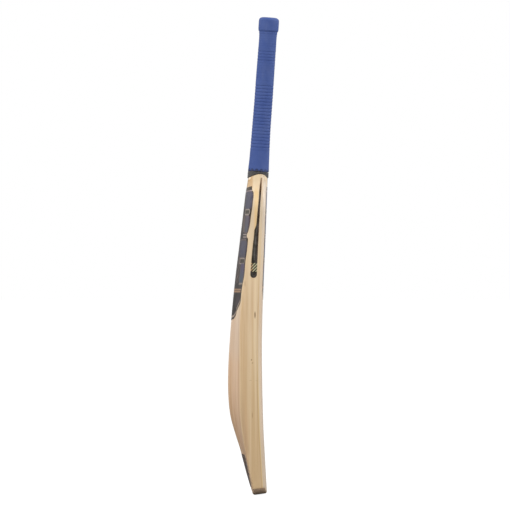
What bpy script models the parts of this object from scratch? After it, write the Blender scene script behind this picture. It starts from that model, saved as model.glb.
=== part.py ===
"""Cricket bat, short-handle full size, built from its separate pieces.

Frame: origin at the centre of the toe's flat underside, +Z up along the blade,
+X towards the striking face, Y across the blade's width. Metres.

The willow blade carries a V splice. A laminated cane handle (four slabs of
three canes with three rubber spring strips between the slabs) runs down into
the splice, flush with the face and the back. Twine binds the cane, black tape
covers the foot of the binding, and a rubber grip is pulled over both. A rubber
guard wraps the toe, and thin stickers lie on the face, back and both edges.
"""

import math

import bmesh
import bpy

for old in list(bpy.data.objects):
    bpy.data.objects.remove(old, do_unlink=True)

# ---------------------------------------------------------------- dimensions
GAP = 0.0003                 # glue line or clearance between neighbours
HALF_GAP = GAP / 2.0

# blade
BLADE_HALF_WIDTH = 0.054
TOE_CORNER = 0.014           # radius of the toe's corners, seen from the front
TOE_TILT = math.radians(7.5) # the toe's underside is about square to the bowed face
TOE_TILT_FADE = 0.080        # height at which the rings have become level
TOE_EASE = 0.0012            # thinning of the toe's lower rim, front and back
TOE_EASE_HEIGHT = 0.0022
FACE_CROWN_RADIUS = 0.62     # slight crown across the face
FACE_ROUND = 0.0068          # rounding between face and edge
EDGE_BULGE = 0.0007
BACK_ROUND = 0.0042          # rounding between edge and back
EDGE_FOOT_SHARE = 0.8        # share of BACK_ROUND from the corner forward to the edge
BACK_START_SHARE = 0.45      # share of BACK_ROUND from the corner back to the slope
BACK_CONVEX_SHARE = 0.45     # convex part of the back rounding, the rest is concave
SPINE_SOFTNESS = 0.16        # rounding of the spine's ridge
BACK_HOLLOW = 0.22           # hollow between the spine and the edge
SHOULDER_TOP = 0.5703        # crest of the willow beside the handle
ROUND_START, ROUND_END = 0.500, 0.566  # where the section turns into an ellipse
SQUARENESS = 1.1             # extra power of the ellipse where it starts

# steps round half a section, from the middle of the face to the spine
FACE_STEPS = 6
FACE_ROUND_STEPS = 4
EDGE_STEPS = 5
BACK_ROUND_STEPS = 3
BACK_STEPS = 9
# ring index of the first point of the back rounding, and of the spine
CORNER_INDEX = FACE_STEPS + FACE_ROUND_STEPS + EDGE_STEPS + 1
SPINE_INDEX = CORNER_INDEX - 1 + BACK_ROUND_STEPS + BACK_STEPS
RING_COUNT = 2 * SPINE_INDEX

# (z, x) of the face along the middle of the blade: the bow
FACE_LINE = [(0.000, 0.0126), (0.060, 0.0092), (0.130, 0.0057), (0.250, 0.0035),
             (0.345, 0.0052), (0.452, 0.0094), (0.524, 0.0121), (SHOULDER_TOP, 0.0136)]
# (z, x) of the spine along the middle of the back: the swell is low on the blade
SPINE_LINE = [(0.000, -0.0126), (0.038, -0.0239), (0.080, -0.0356), (0.109, -0.0448),
              (0.135, -0.0520), (0.160, -0.0556), (0.195, -0.0572), (0.240, -0.0561),
              (0.309, -0.0514), (0.381, -0.0443), (0.452, -0.0356), (0.524, -0.0270),
              (SHOULDER_TOP, -0.0214)]
# (z, x) of the corner where the edge meets the back
EDGE_BACK_LINE = [(0.000, -0.0092), (0.052, -0.0195), (0.109, -0.0303), (0.150, -0.0343),
                  (0.230, -0.0350), (0.310, -0.0346), (0.381, -0.0290), (0.452, -0.0222),
                  (0.524, -0.0160), (SHOULDER_TOP, -0.0140)]
# (z, half width) through the shoulders
SHOULDER_LINE = [(0.495, BLADE_HALF_WIDTH), (0.512, 0.0533), (0.527, 0.0502),
                 (0.540, 0.0445), (0.550, 0.0376), (0.558, 0.0308), (0.5645, 0.0256),
                 (SHOULDER_TOP, 0.0218)]
# heights of the blade's rings
BLADE_RINGS = [0.0000, 0.0007, 0.0022, 0.0048, 0.0085, 0.0140, 0.026, 0.042, 0.060,
               0.078, 0.096, 0.112, 0.127, 0.142, 0.158, 0.176, 0.198, 0.225, 0.260,
               0.300, 0.340, 0.380, 0.420, 0.458, 0.490, 0.505, 0.516, 0.526, 0.5345,
               0.542, 0.5485, 0.5540, 0.5590, 0.5632, 0.5670, SHOULDER_TOP]

# fall of the willow's top edge away from the crest: (drop, run, limit, power)
CREST_X = 0.0005             # the crest sits a little in front of the handle's middle
CREST_START = 0.530          # height at which the rings begin to arch
CREST_BACK = (0.0072, 0.0220, 1.25, 1.7)   # a long slope to the back
CREST_FRONT = (0.0061, 0.0120, 1.10, 2.4)  # a short round to the face

# toe guard
GUARD_THICK = 0.0030
GUARD_RISE = 0.0105
GUARD_BLANK_TOP = 0.05       # the guard's blank uses the blade rings below this
TOE_CORNER_STEPS = 6

# handle: a straight axis leaning towards the face
LEAN = math.radians(4.07)
HANDLE_FOOT_X, HANDLE_FOOT_Z = -0.0033, 0.570
HANDLE_TOP = 0.2813          # along the axis, from the foot to the grip's end
OVAL = 0.965                 # the handle is a little narrower across the width
# (distance along the axis, radius) of the grip's outside
GRIP_LINE = [(0.0105, 0.01850), (0.0250, 0.01780), (0.0500, 0.01722), (0.0930, 0.01660),
             (0.1840, 0.01615), (0.2400, 0.01575), (HANDLE_TOP, 0.01560)]
GRIP_WALL = 0.0021
TWINE_WALL = 0.0008
CORE_TOP = HANDLE_TOP - GRIP_WALL - 0.0012
CORE_BEVEL = 0.0015
CORE_LEVELS = [0.030, 0.060, 0.105, 0.160, 0.220]  # shared by core, twine and grip bore

# splice and laminate: above the willow's crest the core is turned round
SPLICE_TIP = 0.452
SPLICE_TOP = 0.572
SPLICE_TIP_HALF = 0.0030
SPLICE_TOP_HALF = 0.0174
SPLICE_SLOPE = (SPLICE_TOP_HALF - SPLICE_TIP_HALF) / (SPLICE_TOP - SPLICE_TIP)
SPLICE_FORM_FOOT = 0.420     # lowest blade ring used to shape the canes
STRIP_HALF = 0.0006
STRIP_Y = 0.0064
STRIP_FOOT = 0.4926
CANE_SPLIT = 0.0045          # distance of the two splits between cane rows from the axis

# reach of the cutters and blanks, clear of what they cut
CUT_BACK, CUT_FRONT = -0.090, 0.060
CUT_EXTRA = 0.001            # the guard's hollow reaches past its other cutter
LAMINATE_BACK, LAMINATE_FRONT = -0.060, 0.050   # from the handle's axis
LAMINATE_TOP = 0.900
SLOT_TOP = 0.620
TRIM_HALF_WIDTH, TRIM_TOP = 0.075, 0.640
KEEP_HALF_WIDTH, KEEP_FOOT = 0.07, -0.02
HOLLOW_TOP = 0.060

# stickers
STICKER_LIFT = 0.0003
STICKER_THICK = 0.0003


# ------------------------------------------------------------------ helpers
def smooth(start, end, value):
    """Ease from 0 at start to 1 at end."""
    share = min(1.0, max(0.0, (value - start) / (end - start)))
    return share * share * (3.0 - 2.0 * share)


def along(stations, z):
    """Catmull-Rom through a few (z, value) design stations, held level past the ends."""
    if z <= stations[0][0]:
        return stations[0][1]
    if z >= stations[-1][0]:
        return stations[-1][1]
    i = max(k for k in range(len(stations) - 1) if stations[k][0] <= z)
    low_z, low = stations[i]
    high_z, high = stations[i + 1]
    before_z, before = (stations[i - 1] if i > 0
                        else (2 * low_z - high_z, 2 * low - high))
    after_z, after = (stations[i + 2] if i + 2 < len(stations)
                      else (2 * high_z - low_z, 2 * high - low))
    low_slope = (high - before) / (high_z - before_z)
    high_slope = (after - low) / (after_z - low_z)
    span = high_z - low_z
    t = (z - low_z) / span
    return ((2 * t ** 3 - 3 * t ** 2 + 1) * low
            + (t ** 3 - 2 * t ** 2 + t) * span * low_slope
            + (-2 * t ** 3 + 3 * t ** 2) * high
            + (t ** 3 - t ** 2) * span * high_slope)


def material(name, colour, roughness):
    mat = bpy.data.materials.new(name)
    mat.use_nodes = True
    shader = mat.node_tree.nodes["Principled BSDF"]
    shader.inputs["Base Color"].default_value = (*colour, 1.0)
    shader.inputs["Roughness"].default_value = roughness
    mat.diffuse_color = (*colour, 1.0)
    return mat


def add_object(name, verts, faces, mat=None, sharp_degrees=35.0):
    """Add a mesh object. Without a material it is a helper, hidden from renders."""
    mesh = bpy.data.meshes.new(name)
    mesh.from_pydata(verts, [], faces)
    bm = bmesh.new()
    bm.from_mesh(mesh)
    bmesh.ops.remove_doubles(bm, verts=bm.verts, dist=1e-7)
    bmesh.ops.recalc_face_normals(bm, faces=bm.faces)
    bm.to_mesh(mesh)
    bm.free()
    mesh.shade_smooth()
    mesh.set_sharp_from_angle(angle=math.radians(sharp_degrees))
    obj = bpy.data.objects.new(name, mesh)
    bpy.context.scene.collection.objects.link(obj)
    if mat is None:
        obj.hide_render = True
        obj.display_type = "WIRE"
    else:
        mesh.materials.append(mat)
    return obj


def boolean(obj, cutter, operation, solver="EXACT"):
    mod = obj.modifiers.new(operation.lower(), "BOOLEAN")
    mod.object = cutter
    mod.operation = operation
    mod.solver = solver


def ring_faces(rings, count, wrap=False):
    """Quads between successive rings of count points; wrap joins last to first."""
    faces = []
    for i in range(rings if wrap else rings - 1):
        this, following = i * count, (i + 1) % rings * count
        for k in range(count):
            m = (k + 1) % count
            faces.append((this + k, this + m, following + m, following + k))
    return faces


def axis_x(z):
    """x of the handle's axis at height z."""
    return HANDLE_FOOT_X + math.tan(LEAN) * (z - HANDLE_FOOT_Z)


# Placing functions for prism: a depth and a 2-D outline point to a 3-D point.
def place_x(depth, y, z):
    return (depth, y, z)


def place_y(depth, x, z):
    return (x, depth, z)


def place_toe(depth, y, z):
    """Along X, following the tilt of the toe."""
    return (depth, y, z + math.tan(TOE_TILT) * depth)


def place_handle(depth, y, z):
    """Along X, measured from the leaning axis of the handle."""
    return (axis_x(z) + depth, y, z)


def prism(name, outline, place, near, far, mat=None):
    """Extrude an outline of 2-D points between two depths."""
    count = len(outline)
    verts = [place(depth, *point) for depth in (near, far) for point in outline]
    faces = ring_faces(2, count)
    faces += [tuple(range(count))[::-1], tuple(range(count, 2 * count))]
    return add_object(name, verts, faces, mat)


def flipped(points):
    """The same points on the -Y side, in reverse order."""
    return [(-y, z) for y, z in reversed(points)]


def mirror_outline(half):
    """Close a (y, z) half outline across y = 0."""
    return half + flipped([point for point in half if point[0] > 0.0])


# -------------------------------------------------------------- blade form
def half_width(z):
    if z < TOE_CORNER:
        rise = math.sqrt(TOE_CORNER ** 2 - (TOE_CORNER - z) ** 2)
        return BLADE_HALF_WIDTH - (TOE_CORNER - rise)
    return along(SHOULDER_LINE, z)


def rounded_section(points, half, face_x, spine_x, amount):
    """Blend a half section towards the half ellipse that carries the round handle."""
    middle_x, radius_x = (face_x + spine_x) / 2.0, (face_x - spine_x) / 2.0
    power = 2.0 + SQUARENESS * (1.0 - amount)
    blended = []
    for i, (x, y) in enumerate(points):
        angle = math.atan2(y / half, (x - middle_x) / radius_x)
        cosine, sine = math.cos(angle), math.sin(angle)
        reach = (abs(cosine) ** power + abs(sine) ** power) ** (-1.0 / power)
        oval_x = middle_x + radius_x * reach * cosine
        oval_y = 0.0 if i in (0, SPINE_INDEX) else half * reach * sine
        blended.append((x + (oval_x - x) * amount, y + (oval_y - y) * amount))
    return blended


def section(z):
    """Half section as (x, y) points, from the middle of the face to the spine."""
    half = half_width(z)
    ease = TOE_EASE * (1.0 - min(1.0, z / TOE_EASE_HEIGHT)) ** 2
    face_x = along(FACE_LINE, z) - ease
    spine_x = along(SPINE_LINE, z) + ease
    corner_x = along(EDGE_BACK_LINE, z) + ease
    points = []

    face_end_y = half - FACE_ROUND
    for i in range(FACE_STEPS + 1):
        y = face_end_y * i / FACE_STEPS
        points.append((face_x - y ** 2 / (2 * FACE_CROWN_RADIUS), y))

    face_end_x = points[-1][0]
    for i in range(1, FACE_ROUND_STEPS + 1):
        angle = math.radians(90.0 * i / FACE_ROUND_STEPS)
        points.append((face_end_x - FACE_ROUND * (1 - math.cos(angle)),
                       face_end_y + (FACE_ROUND - EDGE_BULGE) * math.sin(angle)))

    edge_y = half - EDGE_BULGE
    edge_start_x = points[-1][0]
    edge_end_x = corner_x + BACK_ROUND * EDGE_FOOT_SHARE
    for i in range(1, EDGE_STEPS + 1):
        share = i / EDGE_STEPS
        points.append((edge_start_x + (edge_end_x - edge_start_x) * share,
                       edge_y + EDGE_BULGE * (1 - (2 * share - 1) ** 2)))

    back_y = edge_y - BACK_ROUND
    back_x = corner_x - BACK_ROUND * BACK_START_SHARE
    convex, concave = BACK_CONVEX_SHARE, 1.0 - BACK_CONVEX_SHARE
    for i in range(1, BACK_ROUND_STEPS + 1):
        angle = math.radians(90.0 * i / BACK_ROUND_STEPS)
        cosine, sine = math.cos(angle), math.sin(angle)
        points.append((edge_end_x
                       + (back_x - edge_end_x) * ((1 - cosine) * concave + sine * convex),
                       back_y + BACK_ROUND * ((1 - sine) * concave + cosine * convex)))

    full_slope = math.sqrt(1 + SPINE_SOFTNESS ** 2) - SPINE_SOFTNESS
    for i in range(1, BACK_STEPS + 1):
        across = 1.0 - i / BACK_STEPS
        slope = (math.sqrt(across * across + SPINE_SOFTNESS ** 2) - SPINE_SOFTNESS) / full_slope
        slope *= 1.0 + BACK_HOLLOW * (1.0 - slope)
        points.append((spine_x + (back_x - spine_x) * slope, back_y * across))

    amount = smooth(ROUND_START, ROUND_END, z)
    if amount > 0.0:
        points = rounded_section(points, half, face_x, spine_x, amount)
    return points


def crest(x):
    """Fall of the willow's top edge to the front and back of the handle."""
    offset = x - CREST_X
    drop, run, limit, power = CREST_BACK if offset < 0 else CREST_FRONT
    return -drop * min(limit, abs(offset) / run) ** power


def ring_z(z, x):
    """Height of a ring's point: tilted at the toe, arched at the shoulders."""
    tilt = math.tan(TOE_TILT * (1.0 - smooth(0.0, TOE_TILT_FADE, z))) * x
    return z + tilt + crest(x) * smooth(CREST_START, SHOULDER_TOP, z)


def blade_ring(z, lift=0.0):
    """Full ring of points, optionally lifted off the surface. It starts at the
    middle of the face and runs round the +Y edge first."""
    half = section(z)
    padded = [(half[1][0], -half[1][1])] + half + [(half[-2][0], -half[-2][1])]
    ring = []
    for i, (x, y) in enumerate(half):
        before, after = padded[i], padded[i + 2]
        run_x, run_y = after[0] - before[0], after[1] - before[1]
        size = math.hypot(run_x, run_y)
        lifted_y = 0.0 if i in (0, SPINE_INDEX) else y - run_x / size * lift
        ring.append((x + run_y / size * lift, lifted_y, ring_z(z, x)))
    ring += [(x, -y, height) for x, y, height in ring[-2:0:-1]]
    return ring


def blade_form(name, levels, mat=None):
    """Closed solid through the blade's rings at the given levels."""
    verts = [point for z in levels for point in blade_ring(z)]
    faces = ring_faces(len(levels), RING_COUNT)
    for base, is_top in ((0, False), ((len(levels) - 1) * RING_COUNT, True)):
        for k in range(SPINE_INDEX):                       # ends: bands across the width
            near, far = base + k, base + k + 1
            far_mirror = base + (RING_COUNT - k - 1) % RING_COUNT
            near_mirror = base + (RING_COUNT - k) % RING_COUNT
            band = [near, far]
            if far_mirror != far:
                band.append(far_mirror)
            if near_mirror != near:
                band.append(near_mirror)
            faces.append(tuple(band if is_top else band[::-1]))
    return add_object(name, verts, faces, mat, sharp_degrees=38.0)


# --------------------------------------------------------------- materials
willow = material("willow", colour=(0.74, 0.56, 0.36), roughness=0.5)
cane_mat = material("cane", colour=(0.68, 0.50, 0.28), roughness=0.55)
strip_mat = material("spring_rubber", colour=(0.05, 0.045, 0.04), roughness=0.8)
twine_mat = material("twine", colour=(0.42, 0.36, 0.27), roughness=0.85)
tape_mat = material("black_tape", colour=(0.04, 0.037, 0.036), roughness=0.7)
grip_mat = material("grip_rubber", colour=(0.06, 0.11, 0.34), roughness=0.75)
guard_mat = material("guard_rubber", colour=(0.21, 0.16, 0.12), roughness=0.75)
back_mat = material("sticker_back", colour=(0.10, 0.11, 0.18), roughness=0.4)
face_mat = material("sticker_face", colour=(0.16, 0.14, 0.22), roughness=0.4)
edge_mat = material("sticker_edge", colour=(0.03, 0.025, 0.02), roughness=0.4)
toe_mat = material("sticker_toe", colour=(0.05, 0.035, 0.03), roughness=0.45)


# --------------------------------------------------------- blade, toe guard
def toe_half_outline(inset, top):
    """Half of the toe's outline in (y, z), inset all round, up to top."""
    side = BLADE_HALF_WIDTH - inset
    radius = TOE_CORNER - inset
    points = []
    for i in range(TOE_CORNER_STEPS + 1):
        angle = math.radians(90.0 * i / TOE_CORNER_STEPS)
        points.append((side - radius + radius * math.sin(angle),
                       inset + radius - radius * math.cos(angle)))
    points.append((side, top))
    return points


def build_blade():
    """Willow with the V slot for the splice and its toe cut back for the guard."""
    blade = blade_form("blade", BLADE_RINGS, willow)
    tip_half = SPLICE_TIP_HALF + HALF_GAP
    top_half = SPLICE_TOP_HALF + HALF_GAP
    tip_z = SPLICE_TIP - HALF_GAP
    slot = [(-tip_half, tip_z), (tip_half, tip_z), (top_half, SPLICE_TOP),
            (top_half, SLOT_TOP), (-top_half, SLOT_TOP), (-top_half, SPLICE_TOP)]
    cutter = prism("splice_cutter", slot, place_x, CUT_BACK, CUT_FRONT)
    boolean(blade, cutter, "DIFFERENCE")

    trim_step = GUARD_RISE + GAP
    trim_half = toe_half_outline(GUARD_THICK + GAP, trim_step)
    trim_half += [(TRIM_HALF_WIDTH, trim_step), (TRIM_HALF_WIDTH, TRIM_TOP)]
    trim = prism("wood_trim", mirror_outline(trim_half), place_toe, CUT_BACK, CUT_FRONT)
    boolean(blade, trim, "INTERSECT")


def build_toe_guard():
    """The foot of the blade's form, cut off level and hollowed for the wood."""
    guard = blade_form("toe_guard", [z for z in BLADE_RINGS if z < GUARD_BLANK_TOP], guard_mat)
    keep_outline = [(-KEEP_HALF_WIDTH, KEEP_FOOT), (KEEP_HALF_WIDTH, KEEP_FOOT),
                    (KEEP_HALF_WIDTH, GUARD_RISE), (-KEEP_HALF_WIDTH, GUARD_RISE)]
    keep = prism("guard_keep", keep_outline, place_toe, CUT_BACK, CUT_FRONT)
    hollow = prism("guard_hollow", mirror_outline(toe_half_outline(GUARD_THICK, HOLLOW_TOP)),
                   place_toe, CUT_BACK - CUT_EXTRA, CUT_FRONT + CUT_EXTRA)
    boolean(guard, keep, "INTERSECT")
    boolean(guard, hollow, "DIFFERENCE")


build_blade()
build_toe_guard()


# ------------------------------------------------------------- handle forms
def handle_point(level, radius, angle):
    """Point at a level along the handle's axis and an angle from the front."""
    x, y = radius * math.cos(angle), radius * math.sin(angle) * OVAL
    return (HANDLE_FOOT_X + level * math.sin(LEAN) + x * math.cos(LEAN), y,
            HANDLE_FOOT_Z + level * math.cos(LEAN) - x * math.sin(LEAN))


def crest_level(height, radius, angle):
    """Level along the axis that lies at a height above the willow's crest."""
    offset = radius * math.cos(angle)
    z = SHOULDER_TOP + crest(HANDLE_FOOT_X + offset) + height
    return (z - HANDLE_FOOT_Z + offset * math.sin(LEAN)) / math.cos(LEAN)


def grip_radius(level):
    return along(GRIP_LINE, level)


def core_radius(level):
    return grip_radius(level) - GRIP_WALL - TWINE_WALL - 2 * GAP


def twine_radius(level):
    return core_radius(level) + GAP + TWINE_WALL


def grip_bore(level):
    return twine_radius(level) + GAP


def revolve(name, profile, segments, mat=None, tube=True, on_crest=()):
    """Spin a (level, radius) profile about the handle's axis.

    A tube joins the profile's ends, otherwise they are capped. on_crest lists
    the profile indices whose level is a height above the willow's crest."""
    verts = []
    for i, (level, radius) in enumerate(profile):
        for k in range(segments):
            angle = 2 * math.pi * k / segments
            point_level = crest_level(level, radius, angle) if i in on_crest else level
            verts.append(handle_point(point_level, radius, angle))
    faces = ring_faces(len(profile), segments, wrap=tube)
    if not tube:
        faces.append(tuple(range(segments))[::-1])
        faces.append(tuple((len(profile) - 1) * segments + k for k in range(segments)))
    return add_object(name, verts, faces, mat, sharp_degrees=40.0)


def build_handle_form():
    """Helper solid: the turned core joined to the blade's shape round the splice."""
    levels = [-0.030, 0.0, *CORE_LEVELS, CORE_TOP - CORE_BEVEL]
    profile = [(level, core_radius(level)) for level in levels]
    profile.append((CORE_TOP, core_radius(CORE_TOP) - CORE_BEVEL))
    form = revolve("handle_form", profile, 40, tube=False)
    splice_form = blade_form("splice_form", [z for z in BLADE_RINGS if z >= SPLICE_FORM_FOOT])
    boolean(form, splice_form, "UNION")
    return form


# ---------------------------------------------------- canes, spring strips
def splice_cut_z(y):
    """Height at which the splice's wall reaches y, on the cane's side."""
    return SPLICE_TIP + (y + HALF_GAP - SPLICE_TIP_HALF) / SPLICE_SLOPE


def laminate(name, outline, near, far, mat, form):
    """A (y, z) outline run through the handle and cut to its form."""
    piece = prism(name, outline, place_handle, near, far, mat)
    # MANIFOLD keeps the thin slivers along the flush front
    boolean(piece, form, "INTERSECT", "MANIFOLD")


def build_canes(form):
    """Four slabs from -Y to +Y, each split into three rows from back to front."""
    inner_near = STRIP_HALF + GAP
    inner_far = STRIP_Y - STRIP_HALF - GAP
    outer_low = STRIP_Y - STRIP_HALF       # below the strip the slabs close up
    outer_near = STRIP_Y + STRIP_HALF + GAP
    outer_far = SPLICE_TOP_HALF - HALF_GAP
    step_z = STRIP_FOOT - GAP
    inner_slab = [(HALF_GAP, SPLICE_TIP), (SPLICE_TIP_HALF - HALF_GAP, SPLICE_TIP),
                  (inner_far, splice_cut_z(inner_far)), (inner_far, LAMINATE_TOP),
                  (inner_near, LAMINATE_TOP), (inner_near, step_z), (HALF_GAP, step_z)]
    outer_slab = [(outer_low, splice_cut_z(outer_low)), (outer_far, splice_cut_z(outer_far)),
                  (outer_far, LAMINATE_TOP), (outer_near, LAMINATE_TOP),
                  (outer_near, step_z), (outer_low, step_z)]
    slabs = [("a", flipped(outer_slab)), ("b", flipped(inner_slab)),
             ("c", inner_slab), ("d", outer_slab)]
    rows = [("back", LAMINATE_BACK, -CANE_SPLIT - HALF_GAP),
            ("middle", -CANE_SPLIT + HALF_GAP, CANE_SPLIT - HALF_GAP),
            ("front", CANE_SPLIT + HALF_GAP, LAMINATE_FRONT)]
    for slab, outline in slabs:
        for row, near, far in rows:
            laminate(f"cane_{slab}_{row}", outline, near, far, cane_mat, form)


def build_spring_strips(form):
    for side, y in (("left", -STRIP_Y), ("centre", 0.0), ("right", STRIP_Y)):
        outline = [(y - STRIP_HALF, STRIP_FOOT), (y + STRIP_HALF, STRIP_FOOT),
                   (y + STRIP_HALF, LAMINATE_TOP), (y - STRIP_HALF, LAMINATE_TOP)]
        laminate("spring_strip_" + side, outline, LAMINATE_BACK, LAMINATE_FRONT,
                 strip_mat, form)


handle_form = build_handle_form()
build_canes(handle_form)
build_spring_strips(handle_form)


# --------------------------------------------------- binding, tape and grip
TWINE_LIFT = 0.0009          # above the willow's crest
TAPE_LIFT = 0.0008           # clear of the arched wood under it
TAPE_TOP = 0.0048
TAPE_RADIUS = 0.01885
TAPE_CORNER = 0.0006         # how far the tape's outer corners are drawn in
GRIP_FOOT = 0.0052
GRIP_HOLE = 0.0080           # radius of the hole in the grip's end
HOLE_BEVEL = 0.0008
COLLAR_RADIUS = 0.0180
COLLAR_FOOT = HANDLE_TOP - 0.0262
TOP_ROUND = 0.0045           # rounding of the grip's end
TOP_ROUND_STEPS = 4
# levels of the grip's outside between its foot and the collar
GRIP_LEVELS = [0.020, 0.034, 0.060, 0.100, 0.145, 0.190, 0.230]


def build_twine():
    levels = [0.012, *CORE_LEVELS, CORE_TOP - 0.003]
    profile = [(TWINE_LIFT, twine_radius(0.0))]
    profile += [(level, twine_radius(level)) for level in levels]
    profile += [(level, core_radius(level) + GAP) for level in reversed(levels)]
    profile.append((TWINE_LIFT, core_radius(0.0) + GAP))
    revolve("twine_binding", profile, 36, twine_mat, on_crest=(0, len(profile) - 1))


def build_tape():
    inside = grip_bore(0.0)
    profile = [(TAPE_LIFT, inside), (TAPE_LIFT, TAPE_RADIUS - TAPE_CORNER),
               (TAPE_LIFT + 0.0009, TAPE_RADIUS), (TAPE_TOP - 0.0016, TAPE_RADIUS),
               (TAPE_TOP - 0.0003, TAPE_RADIUS - TAPE_CORNER),
               (TAPE_TOP, TAPE_RADIUS - 0.0014), (TAPE_TOP, inside)]
    revolve("shoulder_tape", profile, 40, tape_mat, on_crest=(0, 1, 2))


def build_grip():
    """Sleeve with a thicker collar at the top and a holed, rounded end."""
    neck = grip_radius(COLLAR_FOOT)
    bore_top = CORE_TOP + GAP
    profile = [(GRIP_FOOT, 0.0182), (GRIP_FOOT + 0.0007, 0.0185)]
    profile += [(level, grip_radius(level)) for level in GRIP_LEVELS]
    profile += [(COLLAR_FOOT - 0.0016, neck),              # groove under the collar
                (COLLAR_FOOT - 0.0006, neck - 0.0005),
                (COLLAR_FOOT + 0.0004, neck - 0.0003),
                (COLLAR_FOOT + 0.0014, COLLAR_RADIUS - 0.0007),
                (COLLAR_FOOT + 0.0026, COLLAR_RADIUS),
                (HANDLE_TOP - 0.0060, COLLAR_RADIUS)]
    for i in range(1, TOP_ROUND_STEPS + 1):
        angle = math.radians(90.0 * i / TOP_ROUND_STEPS)
        profile.append((HANDLE_TOP - TOP_ROUND + TOP_ROUND * math.sin(angle),
                        COLLAR_RADIUS - TOP_ROUND + TOP_ROUND * math.cos(angle)))
    profile += [(HANDLE_TOP, GRIP_HOLE + HOLE_BEVEL), (HANDLE_TOP - HOLE_BEVEL, GRIP_HOLE),
                (bore_top, GRIP_HOLE), (bore_top, grip_bore(CORE_TOP))]
    profile += [(level, grip_bore(level)) for level in reversed(CORE_LEVELS)]
    profile.append((GRIP_FOOT, grip_bore(GRIP_FOOT)))
    revolve("grip", profile, 40, grip_mat)


build_twine()
build_tape()
build_grip()


# ---------------------------------------------------------------- stickers
BACK_CUT_FRONT = -0.002      # front end of the cutters for the back's stickers
FACE_CUT_BACK = -0.004       # back end of the cutter for the face's sticker
EDGE_CUT_NEAR, EDGE_CUT_FAR = 0.010, 0.080
EDGE_FIRST = FACE_STEPS + FACE_ROUND_STEPS // 2  # ring indices the edge stickers span
EDGE_LAST = CORNER_INDEX + 1

# Half outlines in (y, z), from the top down.
# back: a tall sheet from edge to edge that ends in a rounded point on the spine
CLEAR_OF_EDGE = 0.0600       # beyond the sheet's own side, which follows the corner
BACK_HALF = [(0.0, 0.5500), (CLEAR_OF_EDGE, 0.5500), (CLEAR_OF_EDGE, 0.4665),
             (0.0497, 0.4646), (0.0497, 0.4575), (CLEAR_OF_EDGE, 0.4556),
             (CLEAR_OF_EDGE, 0.3520), (0.0505, 0.3470), (0.0497, 0.3435), (0.0466, 0.3360),
             (0.0400, 0.3315), (0.0317, 0.3277), (0.0150, 0.3195), (0.0055, 0.3130),
             (0.0, 0.3095)]
# small shield on the back above the toe
TOE_HALF = [(0.0, 0.0715), (0.0370, 0.0695), (0.0405, 0.0665), (0.0410, 0.0540),
            (0.0400, 0.0410), (0.0370, 0.0270), (0.0330, 0.0175), (0.0290, 0.0150),
            (0.0, 0.0145)]
# face: a centred panel
FACE_HALF = [(0.0, 0.5510), (0.0140, 0.5510), (0.0240, 0.5400), (0.0360, 0.5235),
             (0.0425, 0.5080), (0.0455, 0.4950), (0.0462, 0.4800), (0.0462, 0.3720),
             (0.0440, 0.3640), (0.0330, 0.3570), (0.0150, 0.3500), (0.0, 0.3455)]

# edge: a long thin blade shape that widens to a round foot, in (x, z)
# across the top and down the side nearer the back
EDGE_DOWN = [(0.0029, 0.5640), (0.0022, 0.5640), (-0.0002, 0.5500), (-0.0014, 0.5360),
             (-0.0024, 0.5220), (-0.0040, 0.5080), (-0.0052, 0.4930), (-0.0066, 0.4800),
             (-0.0084, 0.4745), (-0.0099, 0.4710), (-0.0112, 0.4570), (-0.0129, 0.4430),
             (-0.0149, 0.4220), (-0.0160, 0.4070), (-0.0171, 0.3940)]
# up the side nearer the face
EDGE_UP = [(-0.0055, 0.3950), (-0.0050, 0.4070), (-0.0043, 0.4220), (-0.0035, 0.4430),
           (-0.0026, 0.4570), (-0.0019, 0.4720), (-0.0012, 0.4860), (0.0000, 0.5080),
           (0.0010, 0.5220), (0.0019, 0.5360), (0.0026, 0.5500)]
EDGE_FOOT_X, EDGE_FOOT_Z = -0.0114, 0.3912   # centre of the round foot
EDGE_FOOT_RADIUS = 0.0058
EDGE_FOOT_STEPS = 8


def skin(name, low, high, indices, mat):
    """A thin layer just off the blade, over the given indices of its rings.

    Negative indices count back from the ring's end, round the -Y edge."""
    levels = [low] + [z for z in BLADE_RINGS if low < z < high] + [high]
    verts = []
    for lift in (STICKER_LIFT, STICKER_LIFT + STICKER_THICK):
        for z in levels:
            ring = blade_ring(z, lift)
            verts += [ring[k] for k in indices]
    cols = len(indices)
    size = len(levels) * cols                              # offset to the outer layer
    last_row = size - cols
    faces = []
    for row in range(0, last_row, cols):                   # inner and outer sheets
        for a in range(row, row + cols - 1):
            faces.append((a, a + 1, a + cols + 1, a + cols))
            faces.append((size + a, size + a + cols, size + a + cols + 1, size + a + 1))
    for a in range(cols - 1):                              # lower and upper rims
        b = last_row + a
        faces.append((a, size + a, size + a + 1, a + 1))
        faces.append((b, b + 1, size + b + 1, size + b))
    for a in range(0, last_row, cols):                     # side rims
        b = a + cols - 1
        faces.append((a, a + cols, size + a + cols, size + a))
        faces.append((b, size + b, size + b + cols, b + cols))
    return add_object(name, verts, faces, mat)


def build_back_stickers():
    """Both sheets run across the spine, from one edge's corner to the other's."""
    for name, low, high, first, half, mat in (
            ("back", 0.300, 0.556, CORNER_INDEX, BACK_HALF, back_mat),
            ("toe", 0.012, 0.078, CORNER_INDEX + 1, TOE_HALF, toe_mat)):
        sheet = skin(name + "_sticker", low, high, range(first, RING_COUNT - first + 1), mat)
        cutter = prism(name + "_outline", mirror_outline(half), place_x,
                       CUT_BACK, BACK_CUT_FRONT)
        boolean(sheet, cutter, "INTERSECT")


def build_face_sticker():
    sheet = skin("face_sticker", 0.335, 0.5535, range(-FACE_STEPS, FACE_STEPS + 1), face_mat)
    cutter = prism("face_outline", mirror_outline(FACE_HALF), place_x,
                   FACE_CUT_BACK, CUT_FRONT)
    boolean(sheet, cutter, "INTERSECT")


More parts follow.
